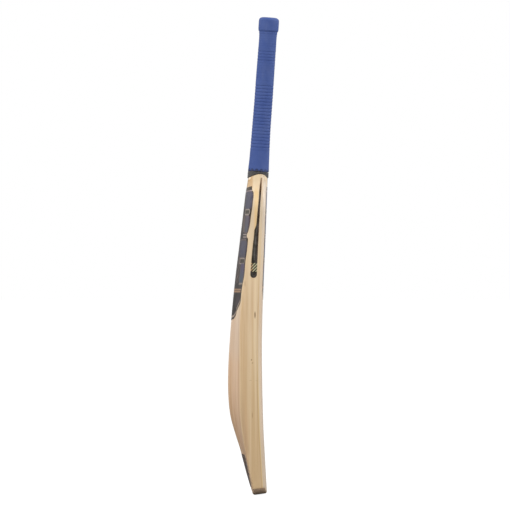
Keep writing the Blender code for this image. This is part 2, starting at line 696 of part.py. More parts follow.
def build_edge_stickers():
    foot = []
    for i in range(EDGE_FOOT_STEPS + 1):
        angle = math.radians(180.0 + 180.0 * i / EDGE_FOOT_STEPS)
        foot.append((EDGE_FOOT_X + EDGE_FOOT_RADIUS * math.cos(angle),
                     EDGE_FOOT_Z + EDGE_FOOT_RADIUS * math.sin(angle)))
    outline = EDGE_DOWN + foot + EDGE_UP
    for name, side in (("edge_sticker_left", -1), ("edge_sticker_right", 1)):
        indices = [side * k for k in range(EDGE_FIRST, EDGE_LAST + 1)]
        sheet = skin(name, 0.375, 0.566, indices, edge_mat)
        cutter = prism(name + "_outline", outline, place_y,
                       side * EDGE_CUT_NEAR, side * EDGE_CUT_FAR)
        boolean(sheet, cutter, "INTERSECT")


build_back_stickers()
build_face_sticker()
build_edge_stickers()

bpy.context.view_layer.update()
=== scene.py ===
"""Looks for a cricket bat: fine surfaces, procedural materials and a studio.

The bat stands on its toe with z upwards. The face looks along +x, the back along -x and
the width runs along y. The handle leans towards the face. Lengths are in metres, but
sticker artwork is in millimetres.
"""
import math

import bmesh
import bpy
import numpy as np
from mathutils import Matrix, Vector


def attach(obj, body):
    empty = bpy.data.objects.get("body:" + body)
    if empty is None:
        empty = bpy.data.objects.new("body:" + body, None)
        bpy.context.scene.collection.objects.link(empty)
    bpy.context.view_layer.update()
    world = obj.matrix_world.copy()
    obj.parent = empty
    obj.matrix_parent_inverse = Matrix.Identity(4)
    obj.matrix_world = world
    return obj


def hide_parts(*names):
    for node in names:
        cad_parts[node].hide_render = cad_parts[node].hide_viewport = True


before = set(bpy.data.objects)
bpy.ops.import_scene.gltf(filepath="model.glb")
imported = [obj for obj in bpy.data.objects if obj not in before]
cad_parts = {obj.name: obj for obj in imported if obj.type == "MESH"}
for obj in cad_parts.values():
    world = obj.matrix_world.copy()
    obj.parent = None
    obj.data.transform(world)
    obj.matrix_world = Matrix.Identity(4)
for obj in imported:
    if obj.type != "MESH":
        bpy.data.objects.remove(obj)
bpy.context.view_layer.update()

# ------------------------------------------------------------------ design
# The CAD's own driving dimensions, so each fine surface lies where its solid does.
GAP = 0.0003                         # clearance between neighbouring pieces
HALF_GAP = GAP / 2.0

# blade
BLADE_HALF_WIDTH = 0.054
TOE_CORNER = 0.014
TOE_TILT = math.radians(7.5)
TOE_TILT_TOP = 0.080                 # the tilt has died away here
TOE_EASE, TOE_EASE_TOP = 0.0012, 0.0022    # face and back draw in this far, below this height
FACE_ROUND = 0.0068
FACE_CROWN_RADIUS = 0.62
BACK_ROUND = 0.0042
BACK_ROUND_RISE = 0.8                # shares of BACK_ROUND: start of the rounding on the edge
BACK_ROUND_DROP = 0.45               # and its end on the back
BACK_SLOPE_SHARE = 0.80              # slope of the back where the rounding meets it
SPINE_SOFT = 0.16                    # softness of the ridge along the spine
BACK_FULLNESS = 0.22                 # how much the flanks of the spine are bowed
EDGE_BULGE = 0.0007
SHOULDER_TOP = 0.5703
SHOULDER_ROUNDING = (0.500, 0.566)   # the section turns into an oval over these heights
OVAL_POWER, OVAL_SQUARENESS = 2.0, 1.1     # final power, and what is added at the start
# The arched shoulder top, either side of its crest:
# direction in x, run, limit of run, power, fall
CREST_X = 0.0005
CREST_START = 0.530
CREST_FALLS = [(-1, 0.0220, 1.25, 1.7, 0.0072), (1, 0.0120, 1.10, 2.4, 0.0061)]
# (z, x) stations up the middle of the face, the spine and the edge's back corner
FACE_LINE = [(0.000, 0.0126), (0.060, 0.0092), (0.130, 0.0057), (0.250, 0.0035),
             (0.345, 0.0052), (0.452, 0.0094), (0.524, 0.0121), (SHOULDER_TOP, 0.0136)]
SPINE_LINE = [(0.000, -0.0126), (0.038, -0.0239), (0.080, -0.0356), (0.109, -0.0448),
              (0.135, -0.0520), (0.160, -0.0556), (0.195, -0.0572), (0.240, -0.0561),
              (0.309, -0.0514), (0.381, -0.0443), (0.452, -0.0356), (0.524, -0.0270),
              (SHOULDER_TOP, -0.0214)]
EDGE_BACK_LINE = [(0.000, -0.0092), (0.052, -0.0195), (0.109, -0.0303), (0.150, -0.0343),
                  (0.230, -0.0350), (0.310, -0.0346), (0.381, -0.0290), (0.452, -0.0222),
                  (0.524, -0.0160), (SHOULDER_TOP, -0.0140)]
# (z, half width) stations round the shoulders
SHOULDER_LINE = [(0.495, 0.0540), (0.512, 0.0533), (0.527, 0.0502), (0.540, 0.0445),
                 (0.550, 0.0376), (0.558, 0.0308), (0.5645, 0.0256), (SHOULDER_TOP, 0.0218)]
# points on the face, face rounding, edge, back rounding and back of a half section
COUNTS = (22, 10, 16, 8, 34)

# toe guard
GUARD_THICK = 0.0030
GUARD_RISE = 0.0105

# handle
LEAN = math.radians(4.07)
FOOT_X, FOOT_Z = -0.0033, 0.570      # foot of the leaning axis
# (distance up the axis, radius) stations of the grip
GRIP_LINE = [(0.0105, 0.01850), (0.0250, 0.01780), (0.0500, 0.01722), (0.0930, 0.01660),
             (0.1840, 0.01615), (0.2400, 0.01575), (0.2813, 0.01560)]
HANDLE_TOP = GRIP_LINE[-1][0]
GRIP_WALL = 0.0021
TWINE_WALL = 0.0008
CORE_TOP = HANDLE_TOP - GRIP_WALL - 0.0012
CORE_CHAMFER = 0.0015
COLLAR_RADIUS = 0.0180
COLLAR_FOOT = HANDLE_TOP - 0.0262
GRIP_FOOT = 0.0052
GRIP_HOLE = 0.0080
TAPE_RADIUS = 0.01885
OVAL = 0.965                         # handle width over depth

# splice
SPLICE_TIP, SPLICE_TIP_HALF = 0.452, 0.0030      # height and half width of the tip
SPLICE_TOP, SPLICE_TOP_HALF = 0.572, 0.0174      # and of the top
SPLICE_SLOPE = (SPLICE_TOP_HALF - SPLICE_TIP_HALF) / (SPLICE_TOP - SPLICE_TIP)
STRIP_HALF = 0.0006
STRIP_Y = 0.0064
STRIP_FOOT = 0.4926
STRIP_SWELL = 0.00024                # fills the glue line, which would let light through
CANE_SPLIT = 0.0045
CUT_BACK, CUT_FRONT = -0.090, 0.060  # x reach of cutters, clear of the blade
CANE_BACK, CANE_FRONT = -0.060, 0.050      # x reach of canes before they are cut
ABOVE = 0.900                        # a height clear of the handle


def smooth(start, end, value):
    t = min(1.0, max(0.0, (value - start) / (end - start)))
    return t * t * (3.0 - 2.0 * t)


def steps(count):
    """Even fractions up to 1, without the 0."""
    return np.arange(1, count + 1) / count


def along(stations, z):
    """Value at z on a smooth curve through (z, value) stations."""
    if z <= stations[0][0]:
        return stations[0][1]
    if z >= stations[-1][0]:
        return stations[-1][1]

    def reflected(centre, point):
        return 2 * centre[0] - point[0], 2 * centre[1] - point[1]

    i = max(k for k in range(len(stations) - 1) if stations[k][0] <= z)
    low, high = stations[i], stations[i + 1]
    before = stations[i - 1] if i > 0 else reflected(low, high)
    after = stations[i + 2] if i + 2 < len(stations) else reflected(high, low)
    slope_low = (high[1] - before[1]) / (high[0] - before[0])
    slope_high = (after[1] - low[1]) / (after[0] - low[0])
    span = high[0] - low[0]
    t = (z - low[0]) / span
    return ((2 * t ** 3 - 3 * t ** 2 + 1) * low[1]
            + (t ** 3 - 2 * t ** 2 + t) * span * slope_low
            + (-2 * t ** 3 + 3 * t ** 2) * high[1]
            + (t ** 3 - t ** 2) * span * slope_high)


def along_all(stations, heights):
    return np.array([along(stations, float(z)) for z in heights])


# ----------------------------------------------------------- blade section
def half_width(z):
    if z < TOE_CORNER:
        return BLADE_HALF_WIDTH - TOE_CORNER + math.sqrt(
            max(0.0, TOE_CORNER ** 2 - (TOE_CORNER - z) ** 2))
    if z > SHOULDER_LINE[0][0]:
        return along(SHOULDER_LINE, z)
    return BLADE_HALF_WIDTH


def section(z, counts=COUNTS):
    """(x, y) points from the middle of the face round one edge to the spine."""
    face_count, round_count, edge_count, corner_count, back_count = counts
    width = half_width(z)
    ease = TOE_EASE * (1.0 - min(1.0, z / TOE_EASE_TOP)) ** 2
    face_x = along(FACE_LINE, z) - ease
    spine_x = along(SPINE_LINE, z) + ease
    corner_x = along(EDGE_BACK_LINE, z) + ease

    # crowned face, then its rounding
    face_y = width - FACE_ROUND
    y = face_y * np.linspace(0, 1, face_count + 1)
    parts = [np.column_stack([face_x - y ** 2 / (2 * FACE_CROWN_RADIUS), y])]
    side_x = face_x - face_y ** 2 / (2 * FACE_CROWN_RADIUS)
    edge_y = width - EDGE_BULGE
    turn = np.radians(90.0 * steps(round_count))
    parts.append(np.column_stack([side_x - FACE_ROUND * (1 - np.cos(turn)),
                                  face_y + (FACE_ROUND - EDGE_BULGE) * np.sin(turn)]))
    # bulged edge
    front_x, rear_x = parts[-1][-1, 0], corner_x + BACK_ROUND * BACK_ROUND_RISE
    t = steps(edge_count)
    parts.append(np.column_stack([front_x + (rear_x - front_x) * t,
                                  edge_y + EDGE_BULGE * (1 - (2 * t - 1) ** 2)]))
    # back rounding
    back_y = edge_y - BACK_ROUND
    back_x = corner_x - BACK_ROUND * BACK_ROUND_DROP
    slope = (back_x - spine_x) / back_y * BACK_SLOPE_SHARE
    start, end = np.array([rear_x, edge_y]), np.array([back_x, back_y])
    middle = np.array([back_x + slope * BACK_ROUND, edge_y])
    t = steps(corner_count)[:, None]
    parts.append((1 - t) ** 2 * start + 2 * t * (1 - t) * middle + t ** 2 * end)
    # back, rising to the softened spine
    out = 1.0 - steps(back_count)
    fall = ((np.sqrt(out * out + SPINE_SOFT ** 2) - SPINE_SOFT)
            / (math.sqrt(1 + SPINE_SOFT ** 2) - SPINE_SOFT))
    fall = fall * (1.0 + BACK_FULLNESS * (1.0 - fall))
    parts.append(np.column_stack([spine_x + (back_x - spine_x) * fall, back_y * out]))
    points = np.vstack(parts)

    rounding = smooth(*SHOULDER_ROUNDING, z)
    if rounding > 0.0:
        centre, depth = (face_x + spine_x) / 2.0, (face_x - spine_x) / 2.0
        angle = np.arctan2(points[:, 1] / width, (points[:, 0] - centre) / depth)
        power = OVAL_POWER + OVAL_SQUARENESS * (1.0 - rounding)
        cos, sin = np.cos(angle), np.sin(angle)
        radius = (np.abs(cos) ** power + np.abs(sin) ** power) ** (-1.0 / power)
        oval = np.column_stack([centre + depth * radius * cos, width * radius * sin])
        oval[0, 1] = oval[-1, 1] = 0.0
        points = points + (oval - points) * rounding
    return points


def crest(x):
    """Height of the arched shoulder top relative to its crest."""
    return -sum(fall * np.clip(direction * (np.asarray(x) - CREST_X) / run, 0.0, limit) ** power
                for direction, run, limit, power, fall in CREST_FALLS)


def ring_z(z, x):
    """Height of a section's points, tilted at the toe and arched at the shoulders."""
    lift = math.tan(TOE_TILT * (1.0 - smooth(0.0, TOE_TILT_TOP, z))) * x
    return z + lift + crest(x) * smooth(CREST_START, SHOULDER_TOP, z)


# ---------------------------------------------------------------- mesh kit
def shade(mesh, sharp):
    mesh.shade_smooth()
    mesh.set_sharp_from_angle(angle=math.radians(sharp))


def make_mesh(name, verts, faces, sharp=40.0, weld=True):
    mesh = bpy.data.meshes.new(name)
    mesh.from_pydata([tuple(v) for v in verts], [], faces)
    bm = bmesh.new()
    bm.from_mesh(mesh)
    if weld:
        bmesh.ops.remove_doubles(bm, verts=bm.verts, dist=1e-7)
    bmesh.ops.recalc_face_normals(bm, faces=bm.faces)
    bm.to_mesh(mesh)
    bm.free()
    shade(mesh, sharp)
    obj = bpy.data.objects.new(name, mesh)
    bpy.context.scene.collection.objects.link(obj)
    return obj


def cut(obj, cutter, operation, solver="EXACT", sharp=32.0):
    """Apply a Boolean at once, so that no modifier is left on the piece."""
    modifier = obj.modifiers.new("cut", "BOOLEAN")
    modifier.object = cutter
    modifier.operation = operation
    modifier.solver = solver
    bpy.context.view_layer.update()
    depsgraph = bpy.context.evaluated_depsgraph_get()
    mesh = bpy.data.meshes.new_from_object(obj.evaluated_get(depsgraph), depsgraph=depsgraph)
    old = obj.data
    obj.modifiers.clear()
    obj.data = mesh
    bpy.data.meshes.remove(old)
    mesh.name = obj.name
    shade(mesh, sharp)


def drop(*objs):
    for obj in objs:
        mesh = obj.data
        bpy.data.objects.remove(obj, do_unlink=True)
        bpy.data.meshes.remove(mesh)


def bands(rows, count, closed=False):
    """Quads between rings of count points; closed joins the last ring to the first."""
    faces = []
    for i in range(rows if closed else rows - 1):
        j = (i + 1) % rows
        for k in range(count):
            m = (k + 1) % count
            faces.append((i * count + k, i * count + m, j * count + m, j * count + k))
    return faces


def upright(x, y, z):
    return x, y, z


def tilted(x, y, z):
    """Square to the tilted toe."""
    return x, y, z + math.tan(TOE_TILT) * x


def leaning(x, y, z):
    """x measured from the handle's axis."""
    return FOOT_X + math.tan(LEAN) * (z - FOOT_Z) + x, y, z


def prism(name, outline, back, front, place=upright):
    """A (y, z) outline drawn out from x = back to x = front."""
    n = len(outline)
    verts = [place(x, y, z) for x in (back, front) for y, z in outline]
    faces = bands(2, n) + [tuple(range(n))[::-1], tuple(range(n, 2 * n))]
    return make_mesh(name, verts, faces, sharp=20.0)


def mirrored(outline):
    return [(-y, z) for y, z in reversed(outline)]


def blade_form(name, levels):
    rows = []
    for z in levels:
        half = section(z)
        plus = np.column_stack([half, ring_z(z, half[:, 0])])
        rows.append(np.vstack([plus, plus[-2:0:-1] * np.array([1.0, -1.0, 1.0])]))
    n = len(half)
    count = 2 * n - 2
    faces = bands(len(levels), count)
    # end caps, as strips of quads from side to side
    for base, is_top in ((0, False), ((len(levels) - 1) * count, True)):
        for k in range(n - 1):
            a, b = base + k, base + k + 1
            c, d = base + (count - k - 1) % count, base + (count - k) % count
            quad = [a, b] + ([c] if c != b else []) + ([d] if d != a else [])
            faces.append(tuple(quad if is_top else quad[::-1]))
    return make_mesh(name, np.vstack(rows), faces, sharp=38.0)


def levels_between(*spans):
    """Heights over (low, high, step) spans."""
    out = []
    for low, high, step in spans:
        n = max(1, int(round((high - low) / step)))
        out += list(low + (high - low) * np.arange(n) / n)
    return out + [spans[-1][1]]


# ------------------------------------------------------ blade and toe guard
TOE_LEVELS = [TOE_CORNER * (1 - math.cos(math.radians(90 * i / 22))) for i in range(22)]
FACE_SHEET_DEPTH = 0.0086            # from the face's middle line back to the sheet's seam


def toe_outline(inset, high, above):
    """The toe's outline set inwards up to high, then the points above it."""
    width, radius = BLADE_HALF_WIDTH - inset, TOE_CORNER - inset
    side = []
    for i in range(17):
        turn = math.radians(90.0 * i / 16.0)
        side.append((width - radius + radius * math.sin(turn),
                     inset + radius - radius * math.cos(turn)))
    side += [(width, high)] + above
    return side + mirrored(side)


def build_blade():
    levels = TOE_LEVELS + levels_between(
        (TOE_CORNER, 0.060, 0.0040), (0.060, 0.500, 0.0050), (0.500, SHOULDER_TOP, 0.0016))
    blade = blade_form("willow_blade", levels)
    tip, top = SPLICE_TIP_HALF + HALF_GAP, SPLICE_TOP_HALF + HALF_GAP
    slot_top = 0.620
    slot = prism("slot", [(-tip, SPLICE_TIP - HALF_GAP), (tip, SPLICE_TIP - HALF_GAP),
                          (top, SPLICE_TOP), (top, slot_top),
                          (-top, slot_top), (-top, SPLICE_TOP)], CUT_BACK, CUT_FRONT)
    # room for the toe guard, and everything above it kept
    high, clear, trim_top = GUARD_RISE + GAP, 0.075, 0.640
    trim = prism("trim", toe_outline(GUARD_THICK + GAP, high, [(clear, high), (clear, trim_top)]),
                 CUT_BACK, CUT_FRONT, tilted)
    cut(blade, slot, "DIFFERENCE")
    cut(blade, trim, "INTERSECT")
    drop(slot, trim)
    # distances in millimetres that place the willow's zones
    coords = np.empty(len(blade.data.vertices) * 3)
    blade.data.vertices.foreach_get("co", coords)
    x, z = coords[0::3], coords[2::3]
    for name, distance in (("ahead", x - (along_all(FACE_LINE, z) - FACE_SHEET_DEPTH)),
                           ("behind", along_all(EDGE_BACK_LINE, z) - x)):
        attribute = blade.data.attributes.new(name, "FLOAT", "POINT")
        attribute.data.foreach_set("value", distance.astype(np.float32) * 1000.0)
    return blade


def build_guard():
    guard = blade_form("toe_guard_rubber",
                       TOE_LEVELS + levels_between((TOE_CORNER, 0.030, 0.0040)))
    side, below, hollow_top, margin = 0.07, -0.02, 0.060, 0.001
    keep = prism("keep", [(-side, below), (side, below), (side, GUARD_RISE), (-side, GUARD_RISE)],
                 CUT_BACK, CUT_FRONT, tilted)
    hollow = prism("hollow", toe_outline(GUARD_THICK, hollow_top, []),
                   CUT_BACK - margin, CUT_FRONT + margin, tilted)
    cut(guard, keep, "INTERSECT")
    cut(guard, hollow, "DIFFERENCE")
    drop(keep, hollow)
    return guard


blade = build_blade()
guard = build_guard()


# ------------------------------------------------------- canes and strips
def handle_points(up, radius, angle):
    """Points from distances up the axis, radii and angles."""
    x, y = radius * np.cos(angle), radius * np.sin(angle) * OVAL
    return np.stack([FOOT_X + up * math.sin(LEAN) + x * math.cos(LEAN), y + 0.0 * up,
                     FOOT_Z + up * math.cos(LEAN) - x * math.sin(LEAN)], axis=-1)


def bore_radius(up):
    return along(GRIP_LINE, up) - GRIP_WALL


def core_radius(up):
    return bore_radius(up) - TWINE_WALL - 2 * GAP


def build_core(segments=96):
    """The whole handle and splice in one, which cuts the canes to shape."""
    levels = [-0.030, 0.0] + list(np.linspace(0.012, CORE_TOP - CORE_CHAMFER, 24)) + [CORE_TOP]
    angle = 2 * np.pi * np.arange(segments) / segments
    verts = np.vstack([handle_points(
        up, core_radius(up) - (CORE_CHAMFER if up == CORE_TOP else 0.0), angle) for up in levels])
    faces = bands(len(levels), segments)
    faces.append(tuple(range(segments))[::-1])
    faces.append(tuple((len(levels) - 1) * segments + k for k in range(segments)))
    core = make_mesh("core_form", verts, faces)
    low = blade_form("low_form",
                     levels_between((0.430, 0.500, 0.0050), (0.500, SHOULDER_TOP, 0.0020)))
    cut(core, low, "UNION")
    drop(low)
    return core


def splice_z(y):
    """Height of a cane's sloping foot at y."""
    return SPLICE_TIP + (y + HALF_GAP - SPLICE_TIP_HALF) / SPLICE_SLOPE


def register(piece, node):
    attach(piece, "root")
    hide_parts(node)


def splice_piece(core, node, outline, back, front):
    piece = prism(node + "_fine", outline, back, front, leaning)
    cut(piece, core, "INTERSECT", "MANIFOLD", sharp=28.0)
    register(piece, node)
    return piece


def build_canes(core):
    """Four slabs across the width, each of three canes from back to front."""
    inner_near, inner_far = STRIP_HALF + GAP, STRIP_Y - STRIP_HALF - GAP
    outer_low, outer_near = STRIP_Y - STRIP_HALF, STRIP_Y + STRIP_HALF + GAP
    outer_far = SPLICE_TOP_HALF - HALF_GAP
    step = STRIP_FOOT - GAP          # the canes narrow above this to clear the strips
    inner = [(HALF_GAP, SPLICE_TIP), (SPLICE_TIP_HALF - HALF_GAP, SPLICE_TIP),
             (inner_far, splice_z(inner_far)), (inner_far, ABOVE), (inner_near, ABOVE),
             (inner_near, step), (HALF_GAP, step)]
    outer = [(outer_low, splice_z(outer_low)), (outer_far, splice_z(outer_far)),
             (outer_far, ABOVE), (outer_near, ABOVE), (outer_near, step), (outer_low, step)]
    rows = [("back", CANE_BACK, -CANE_SPLIT - HALF_GAP),
            ("middle", -CANE_SPLIT + HALF_GAP, CANE_SPLIT - HALF_GAP),
            ("front", CANE_SPLIT + HALF_GAP, CANE_FRONT)]
    slabs = [("a", mirrored(outer)), ("b", mirrored(inner)), ("c", inner), ("d", outer)]
    return [splice_piece(core, "cane_%s_%s" % (slab, row), outline, back, front)
            for slab, outline in slabs for row, back, front in rows]


def build_strips(core):
    half = STRIP_HALF + STRIP_SWELL
    return [splice_piece(core, "spring_strip_" + side,
                         [(y - half, STRIP_FOOT), (y + half, STRIP_FOOT),
                          (y + half, ABOVE), (y - half, ABOVE)],
                         CANE_BACK, CANE_FRONT)
            for side, y in (("left", -STRIP_Y), ("centre", 0.0), ("right", STRIP_Y))]


core = build_core()
canes = build_canes(core)
strips = build_strips(core)
drop(core)

# ------------------------------------------------------------- ribbed grip
# Grooves between raised rings: from, to, pitch, depth, width (distances up the axis)
LOW_RIBS = (0.0425, 0.1625, 0.0058, 0.00046, 0.00090)
HIGH_RIBS = (0.1985, 0.2245, 0.0053, 0.00044, 0.00080)
RIB_FADE, RIB_MARGIN = 0.004, 0.0015
PLAIN_PITCH, PLAIN_DEPTH = 0.0044, 0.00014      # faint rings on the plain lengths
# the lower hem is gathered into scallops
HEM_FOOT, HEM_HEIGHT = GRIP_FOOT + 0.0007, 0.0032
HEM_TURNS, HEM_PHASE = 6.5, 0.4


def rib_groove(up, angle):
    """Depth of the grooves, which waver slightly round the handle."""
    waver = 0.00022 * np.sin(2 * angle + 40.0 * up) + 0.00012 * np.sin(5 * angle + 1.0 + 90.0 * up)
    total = np.zeros_like(up)
    for low, high, pitch, depth, width in (LOW_RIBS, HIGH_RIBS):
        phase = (up + waver - low) / pitch
        near = np.abs(phase - np.round(phase)) * pitch
        fade = (np.clip((up - low + RIB_MARGIN) / RIB_FADE, 0, 1)
                * np.clip((high + RIB_MARGIN - up) / RIB_FADE, 0, 1))
        total += depth * np.exp(-(near / width) ** 2) * fade
    plain = (((up > HIGH_RIBS[1] + 0.003) & (up < COLLAR_FOOT - 0.002))
             | ((up > LOW_RIBS[1] + 0.003) & (up < HIGH_RIBS[0] - 0.003)))
    faint = PLAIN_DEPTH * (0.5 + 0.5 * np.cos(2 * np.pi * up / PLAIN_PITCH))
    return total + np.where(plain, faint, 0.0)


def grip_profile():
    """(distance up, radius) round the grip's wall, and how many points lie outside."""
    roll, lip, lip_run = 0.0011, 0.0002, 0.0022          # rolled lower rim
    flare, flare_run = 0.0012, 0.0032                    # swelling below the collar
    tuck, dip, collar_rise, collar_bulge = 0.0014, 0.00035, 0.0042, 0.00012
    neck = along(GRIP_LINE, COLLAR_FOOT) + 0.00077
    round_height, round_depth = 0.0058, 0.0076           # rounding at the top
    dish, hole_round = 0.0002, 0.0012                    # shallow top and rim of its hole
    parts = []

    def add(up, radius):
        parts.append(np.column_stack(np.broadcast_arrays(up, radius)))

    turn = np.radians(15.0 * np.arange(7))
    add(GRIP_FOOT + roll * (1 - np.cos(turn)),
        GRIP_LINE[0][1] + lip - roll + roll * np.sin(turn))
    start, stop = GRIP_FOOT + roll, COLLAR_FOOT - tuck
    up = start + (stop - start) * steps(int((stop - start) / 0.00042))
    add(up, along_all(GRIP_LINE, up) + lip * np.exp(-((up - start) / lip_run) ** 2)
        + flare * np.exp(-(COLLAR_FOOT - up) / flare_run))
    # collar
    t = steps(8)
    add(stop + tuck * t, neck - dip * np.sin(np.pi / 2 * t))
    t = steps(12)
    add(COLLAR_FOOT + collar_rise * t,
        neck - dip + (COLLAR_RADIUS - neck + dip) * np.sin(np.pi / 2 * t))
    low, high = COLLAR_FOOT + collar_rise, HANDLE_TOP - round_height
    t = steps(35)
    add(low + (high - low) * t, COLLAR_RADIUS + collar_bulge * np.sin(np.pi * t))
    # top and its hole
    turn = np.pi / 2 * steps(16)
    flat, rim = COLLAR_RADIUS - round_depth, GRIP_HOLE + hole_round
    add(high + round_height * np.sin(turn), flat + round_depth * np.cos(turn))
    t = steps(7)
    add(HANDLE_TOP - dish * t, flat + (rim - flat) * t)
    turn = np.pi / 2 * steps(6)
    add(HANDLE_TOP - dish - hole_round * (1 - np.cos(turn)), rim - hole_round * np.sin(turn))
    add(CORE_TOP + GAP, GRIP_HOLE)
    outside = sum(len(part) for part in parts)
    # bore
    add(CORE_TOP + GAP, bore_radius(CORE_TOP))
    up = np.linspace(CORE_TOP - 0.004, GRIP_FOOT, 30)
    add(up, along_all(GRIP_LINE, up) - GRIP_WALL)
    return np.vstack(parts), outside


def build_grip(segments=120):
    profile, outside = grip_profile()
    rows = len(profile)
    up = np.repeat(profile[:, :1], segments, axis=1)
    radius = np.repeat(profile[:, 1:], segments, axis=1)
    angle = np.tile(2 * np.pi * np.arange(segments) / segments, (rows, 1))
    is_outside = np.arange(rows)[:, None] < outside
    wave = 0.00010 * np.sin(3 * angle + 60 * up) + 0.00007 * np.sin(7 * angle - 35 * up + 1.3)
    # the middle of the top stays even
    wave = np.where(radius > 0.012, wave, 0.0)
    radius = radius + (wave - rib_groove(up, angle)) * is_outside
    # the lower rim isn't quite even
    edge = np.clip(1.0 - (up - GRIP_FOOT) / 0.006, 0, 1) * is_outside
    up = up + edge * (0.00028 * np.sin(3 * angle + 0.6) + 0.00018 * np.sin(8 * angle + 2.0))
    # a crease along the scallops and a slight swelling below it
    hem = HEM_FOOT + HEM_HEIGHT * np.abs(np.sin(HEM_TURNS * angle + HEM_PHASE))
    crease = -0.00060 * np.exp(-((up - hem) / 0.00085) ** 2)
    swelling = 0.00012 * np.exp(-((up - hem + 0.0016) / 0.0009) ** 2)
    radius = radius + (crease + swelling) * is_outside
    points = handle_points(up, radius, angle).reshape(-1, 3)
    return make_mesh("ribbed_grip", points, bands(rows, segments, closed=True), sharp=50.0)


def build_tape(segments=144):
    """Black binding in close turns of cord, its foot on the arched wood."""
    outer_rows, inner_rows = 150, 12
    top, pitch, foot_clear = 0.0048, 0.00125, 0.0008
    valley, cord_height = 0.00045, 0.00038               # cord surface against TAPE_RADIUS
    end_round, end_drop = 0.0007, 0.0011
    inner = bore_radius(0.0)
    angle = 2 * np.pi * np.arange(segments) / segments

    def foot_level(radius):
        z = SHOULDER_TOP + crest(FOOT_X + radius * np.cos(angle)) + foot_clear
        return (z - FOOT_Z + radius * np.cos(angle) * math.sin(LEAN)) / math.cos(LEAN)

    low = foot_level(TAPE_RADIUS)
    rings = []
    for i in range(outer_rows + 1):
        t = i / outer_rows
        up = low + (top - low) * t
        phase = (up / pitch + angle / (2 * np.pi)) % 1.0
        cord = np.sqrt(np.clip(1 - (2 * phase - 1) ** 2, 0, 1))
        ends = np.minimum(1.0, np.minimum(up - low, top - up) / end_round)
        ends = np.sqrt(np.clip(1 - (1 - ends) ** 2, 0, 1))
        radius = TAPE_RADIUS - valley + cord_height * cord - end_drop * (1 - ends)
        radius = radius + 0.00006 * np.sin(4 * angle + 3.0 * t)
        rings.append(handle_points(up, radius, angle))
    for i in range(inner_rows):
        up = top + (foot_level(inner) - top) * i / (inner_rows - 1)
        rings.append(handle_points(up, inner, angle))
    return make_mesh("shoulder_binding", np.concatenate(rings),
                     bands(len(rings), segments, closed=True), sharp=60.0)


grip = build_grip()
tape = build_tape()

# ------------------------------------------------------------ sticker films
FILM_LIFT, FILM_THICK = 0.00007, 0.00022


def distances(points):
    """Distance travelled at each point of a path."""
    return np.concatenate([[0.0], np.cumsum(np.hypot(*np.diff(points, axis=0).T))])


def back_path(z):
    """Art coordinate and (x, y) from the spine out over the edge.

    On the back the art coordinate is the distance across the width."""
    back_count, corner_count, edge_count = 60, 14, 24
    points = section(z, (6, 4, edge_count, corner_count, back_count))
    points = points[::-1][:back_count + corner_count + edge_count + 1]
    run = distances(points)
    beyond = points[back_count, 1] + (run - run[back_count])
    return np.where(np.arange(len(points)) <= back_count, points[:, 1], beyond), points


FACE_COUNT = 60


def face_path(z):
    """Art coordinate and (x, y) from the middle of the face round to the edge."""
    round_count = 8
    points = section(z, (FACE_COUNT, round_count, 4, 4, 6))[:FACE_COUNT + round_count + 1]
    return distances(points), points


def sheet_grid(levels, columns, path, edge_at):
    """Points on the blade with, in mm, distance from the middle, height and half width."""
    points, across, edges = [], [], []
    for height in levels:
        z = height / 1000.0
        run, line = path(z)
        edge = edge_at(height, run, line)
        t = np.linspace(-1, 1, columns)
        q = np.abs(t) * edge
        x = np.interp(q, run, line[:, 0])
        y = np.interp(q, run, line[:, 1]) * np.sign(t)
        points.append(np.column_stack([x, y, ring_z(z, x)]))
        across.append(q * 1000)
        edges.append(np.full(columns, edge * 1000))
    heights = np.repeat(np.array(levels)[:, None], columns, axis=1)
    return np.stack(points), np.stack(across), heights, np.stack(edges)


def sheet(name, points, axis, direction, colour):
    """A thin closed film, coloured point by point, that faces along an axis."""
    rows, columns, _ = points.shape
    normals = np.cross(np.gradient(points, axis=1), np.gradient(points, axis=0))
    normals /= np.maximum(np.linalg.norm(normals, axis=2, keepdims=True), 1e-12)
    normals *= np.sign(direction * normals[rows // 2, columns // 2, axis])
    outer = points + normals * (FILM_LIFT + FILM_THICK)
    inner = points + normals * FILM_LIFT
    size = rows * columns
    faces = []
    for r in range(rows - 1):
        for c in range(columns - 1):
            a = r * columns + c
            b = size + a
            faces.append((a, a + 1, a + columns + 1, a + columns))
            faces.append((b, b + columns, b + columns + 1, b + 1))
    for c in range(columns - 1):
        a, b = c, (rows - 1) * columns + c
        faces.append((a, size + a, size + a + 1, a + 1))
        faces.append((b, b + 1, size + b + 1, size + b))
    for r in range(rows - 1):
        a, b = r * columns, r * columns + columns - 1
        faces.append((a, a + columns, size + a + columns, size + a))
        faces.append((b, size + b, size + b + columns, b + columns))
    verts = np.vstack([outer.reshape(-1, 3), inner.reshape(-1, 3)])
    obj = make_mesh(name, verts, faces, sharp=45.0, weld=False)
    attribute = obj.data.color_attributes.new("art", "FLOAT_COLOR", "POINT")
    rgba = np.ones((2 * size, 4), np.float32)
    rgba[:, :3] = np.tile(colour.reshape(-1, 3), (2, 1))
    attribute.data.foreach_set("color", rgba.ravel())
    return obj


# -------------------------------------------------------------- sticker art
def linear(rgb):
    """Linear colour from 0-255 sRGB; an array is linear already."""
    if isinstance(rgb, np.ndarray):
        return rgb
    c = np.asarray(rgb, float) / 255.0
    return np.where(c <= 0.04045, c / 12.92, ((c + 0.055) / 1.055) ** 2.4)


def gradient(z, low_rgb, high_rgb, low, high):
    t = np.clip((z - low) / (high - low), 0, 1)[..., None]
    return linear(low_rgb) * (1 - t) + linear(high_rgb) * t


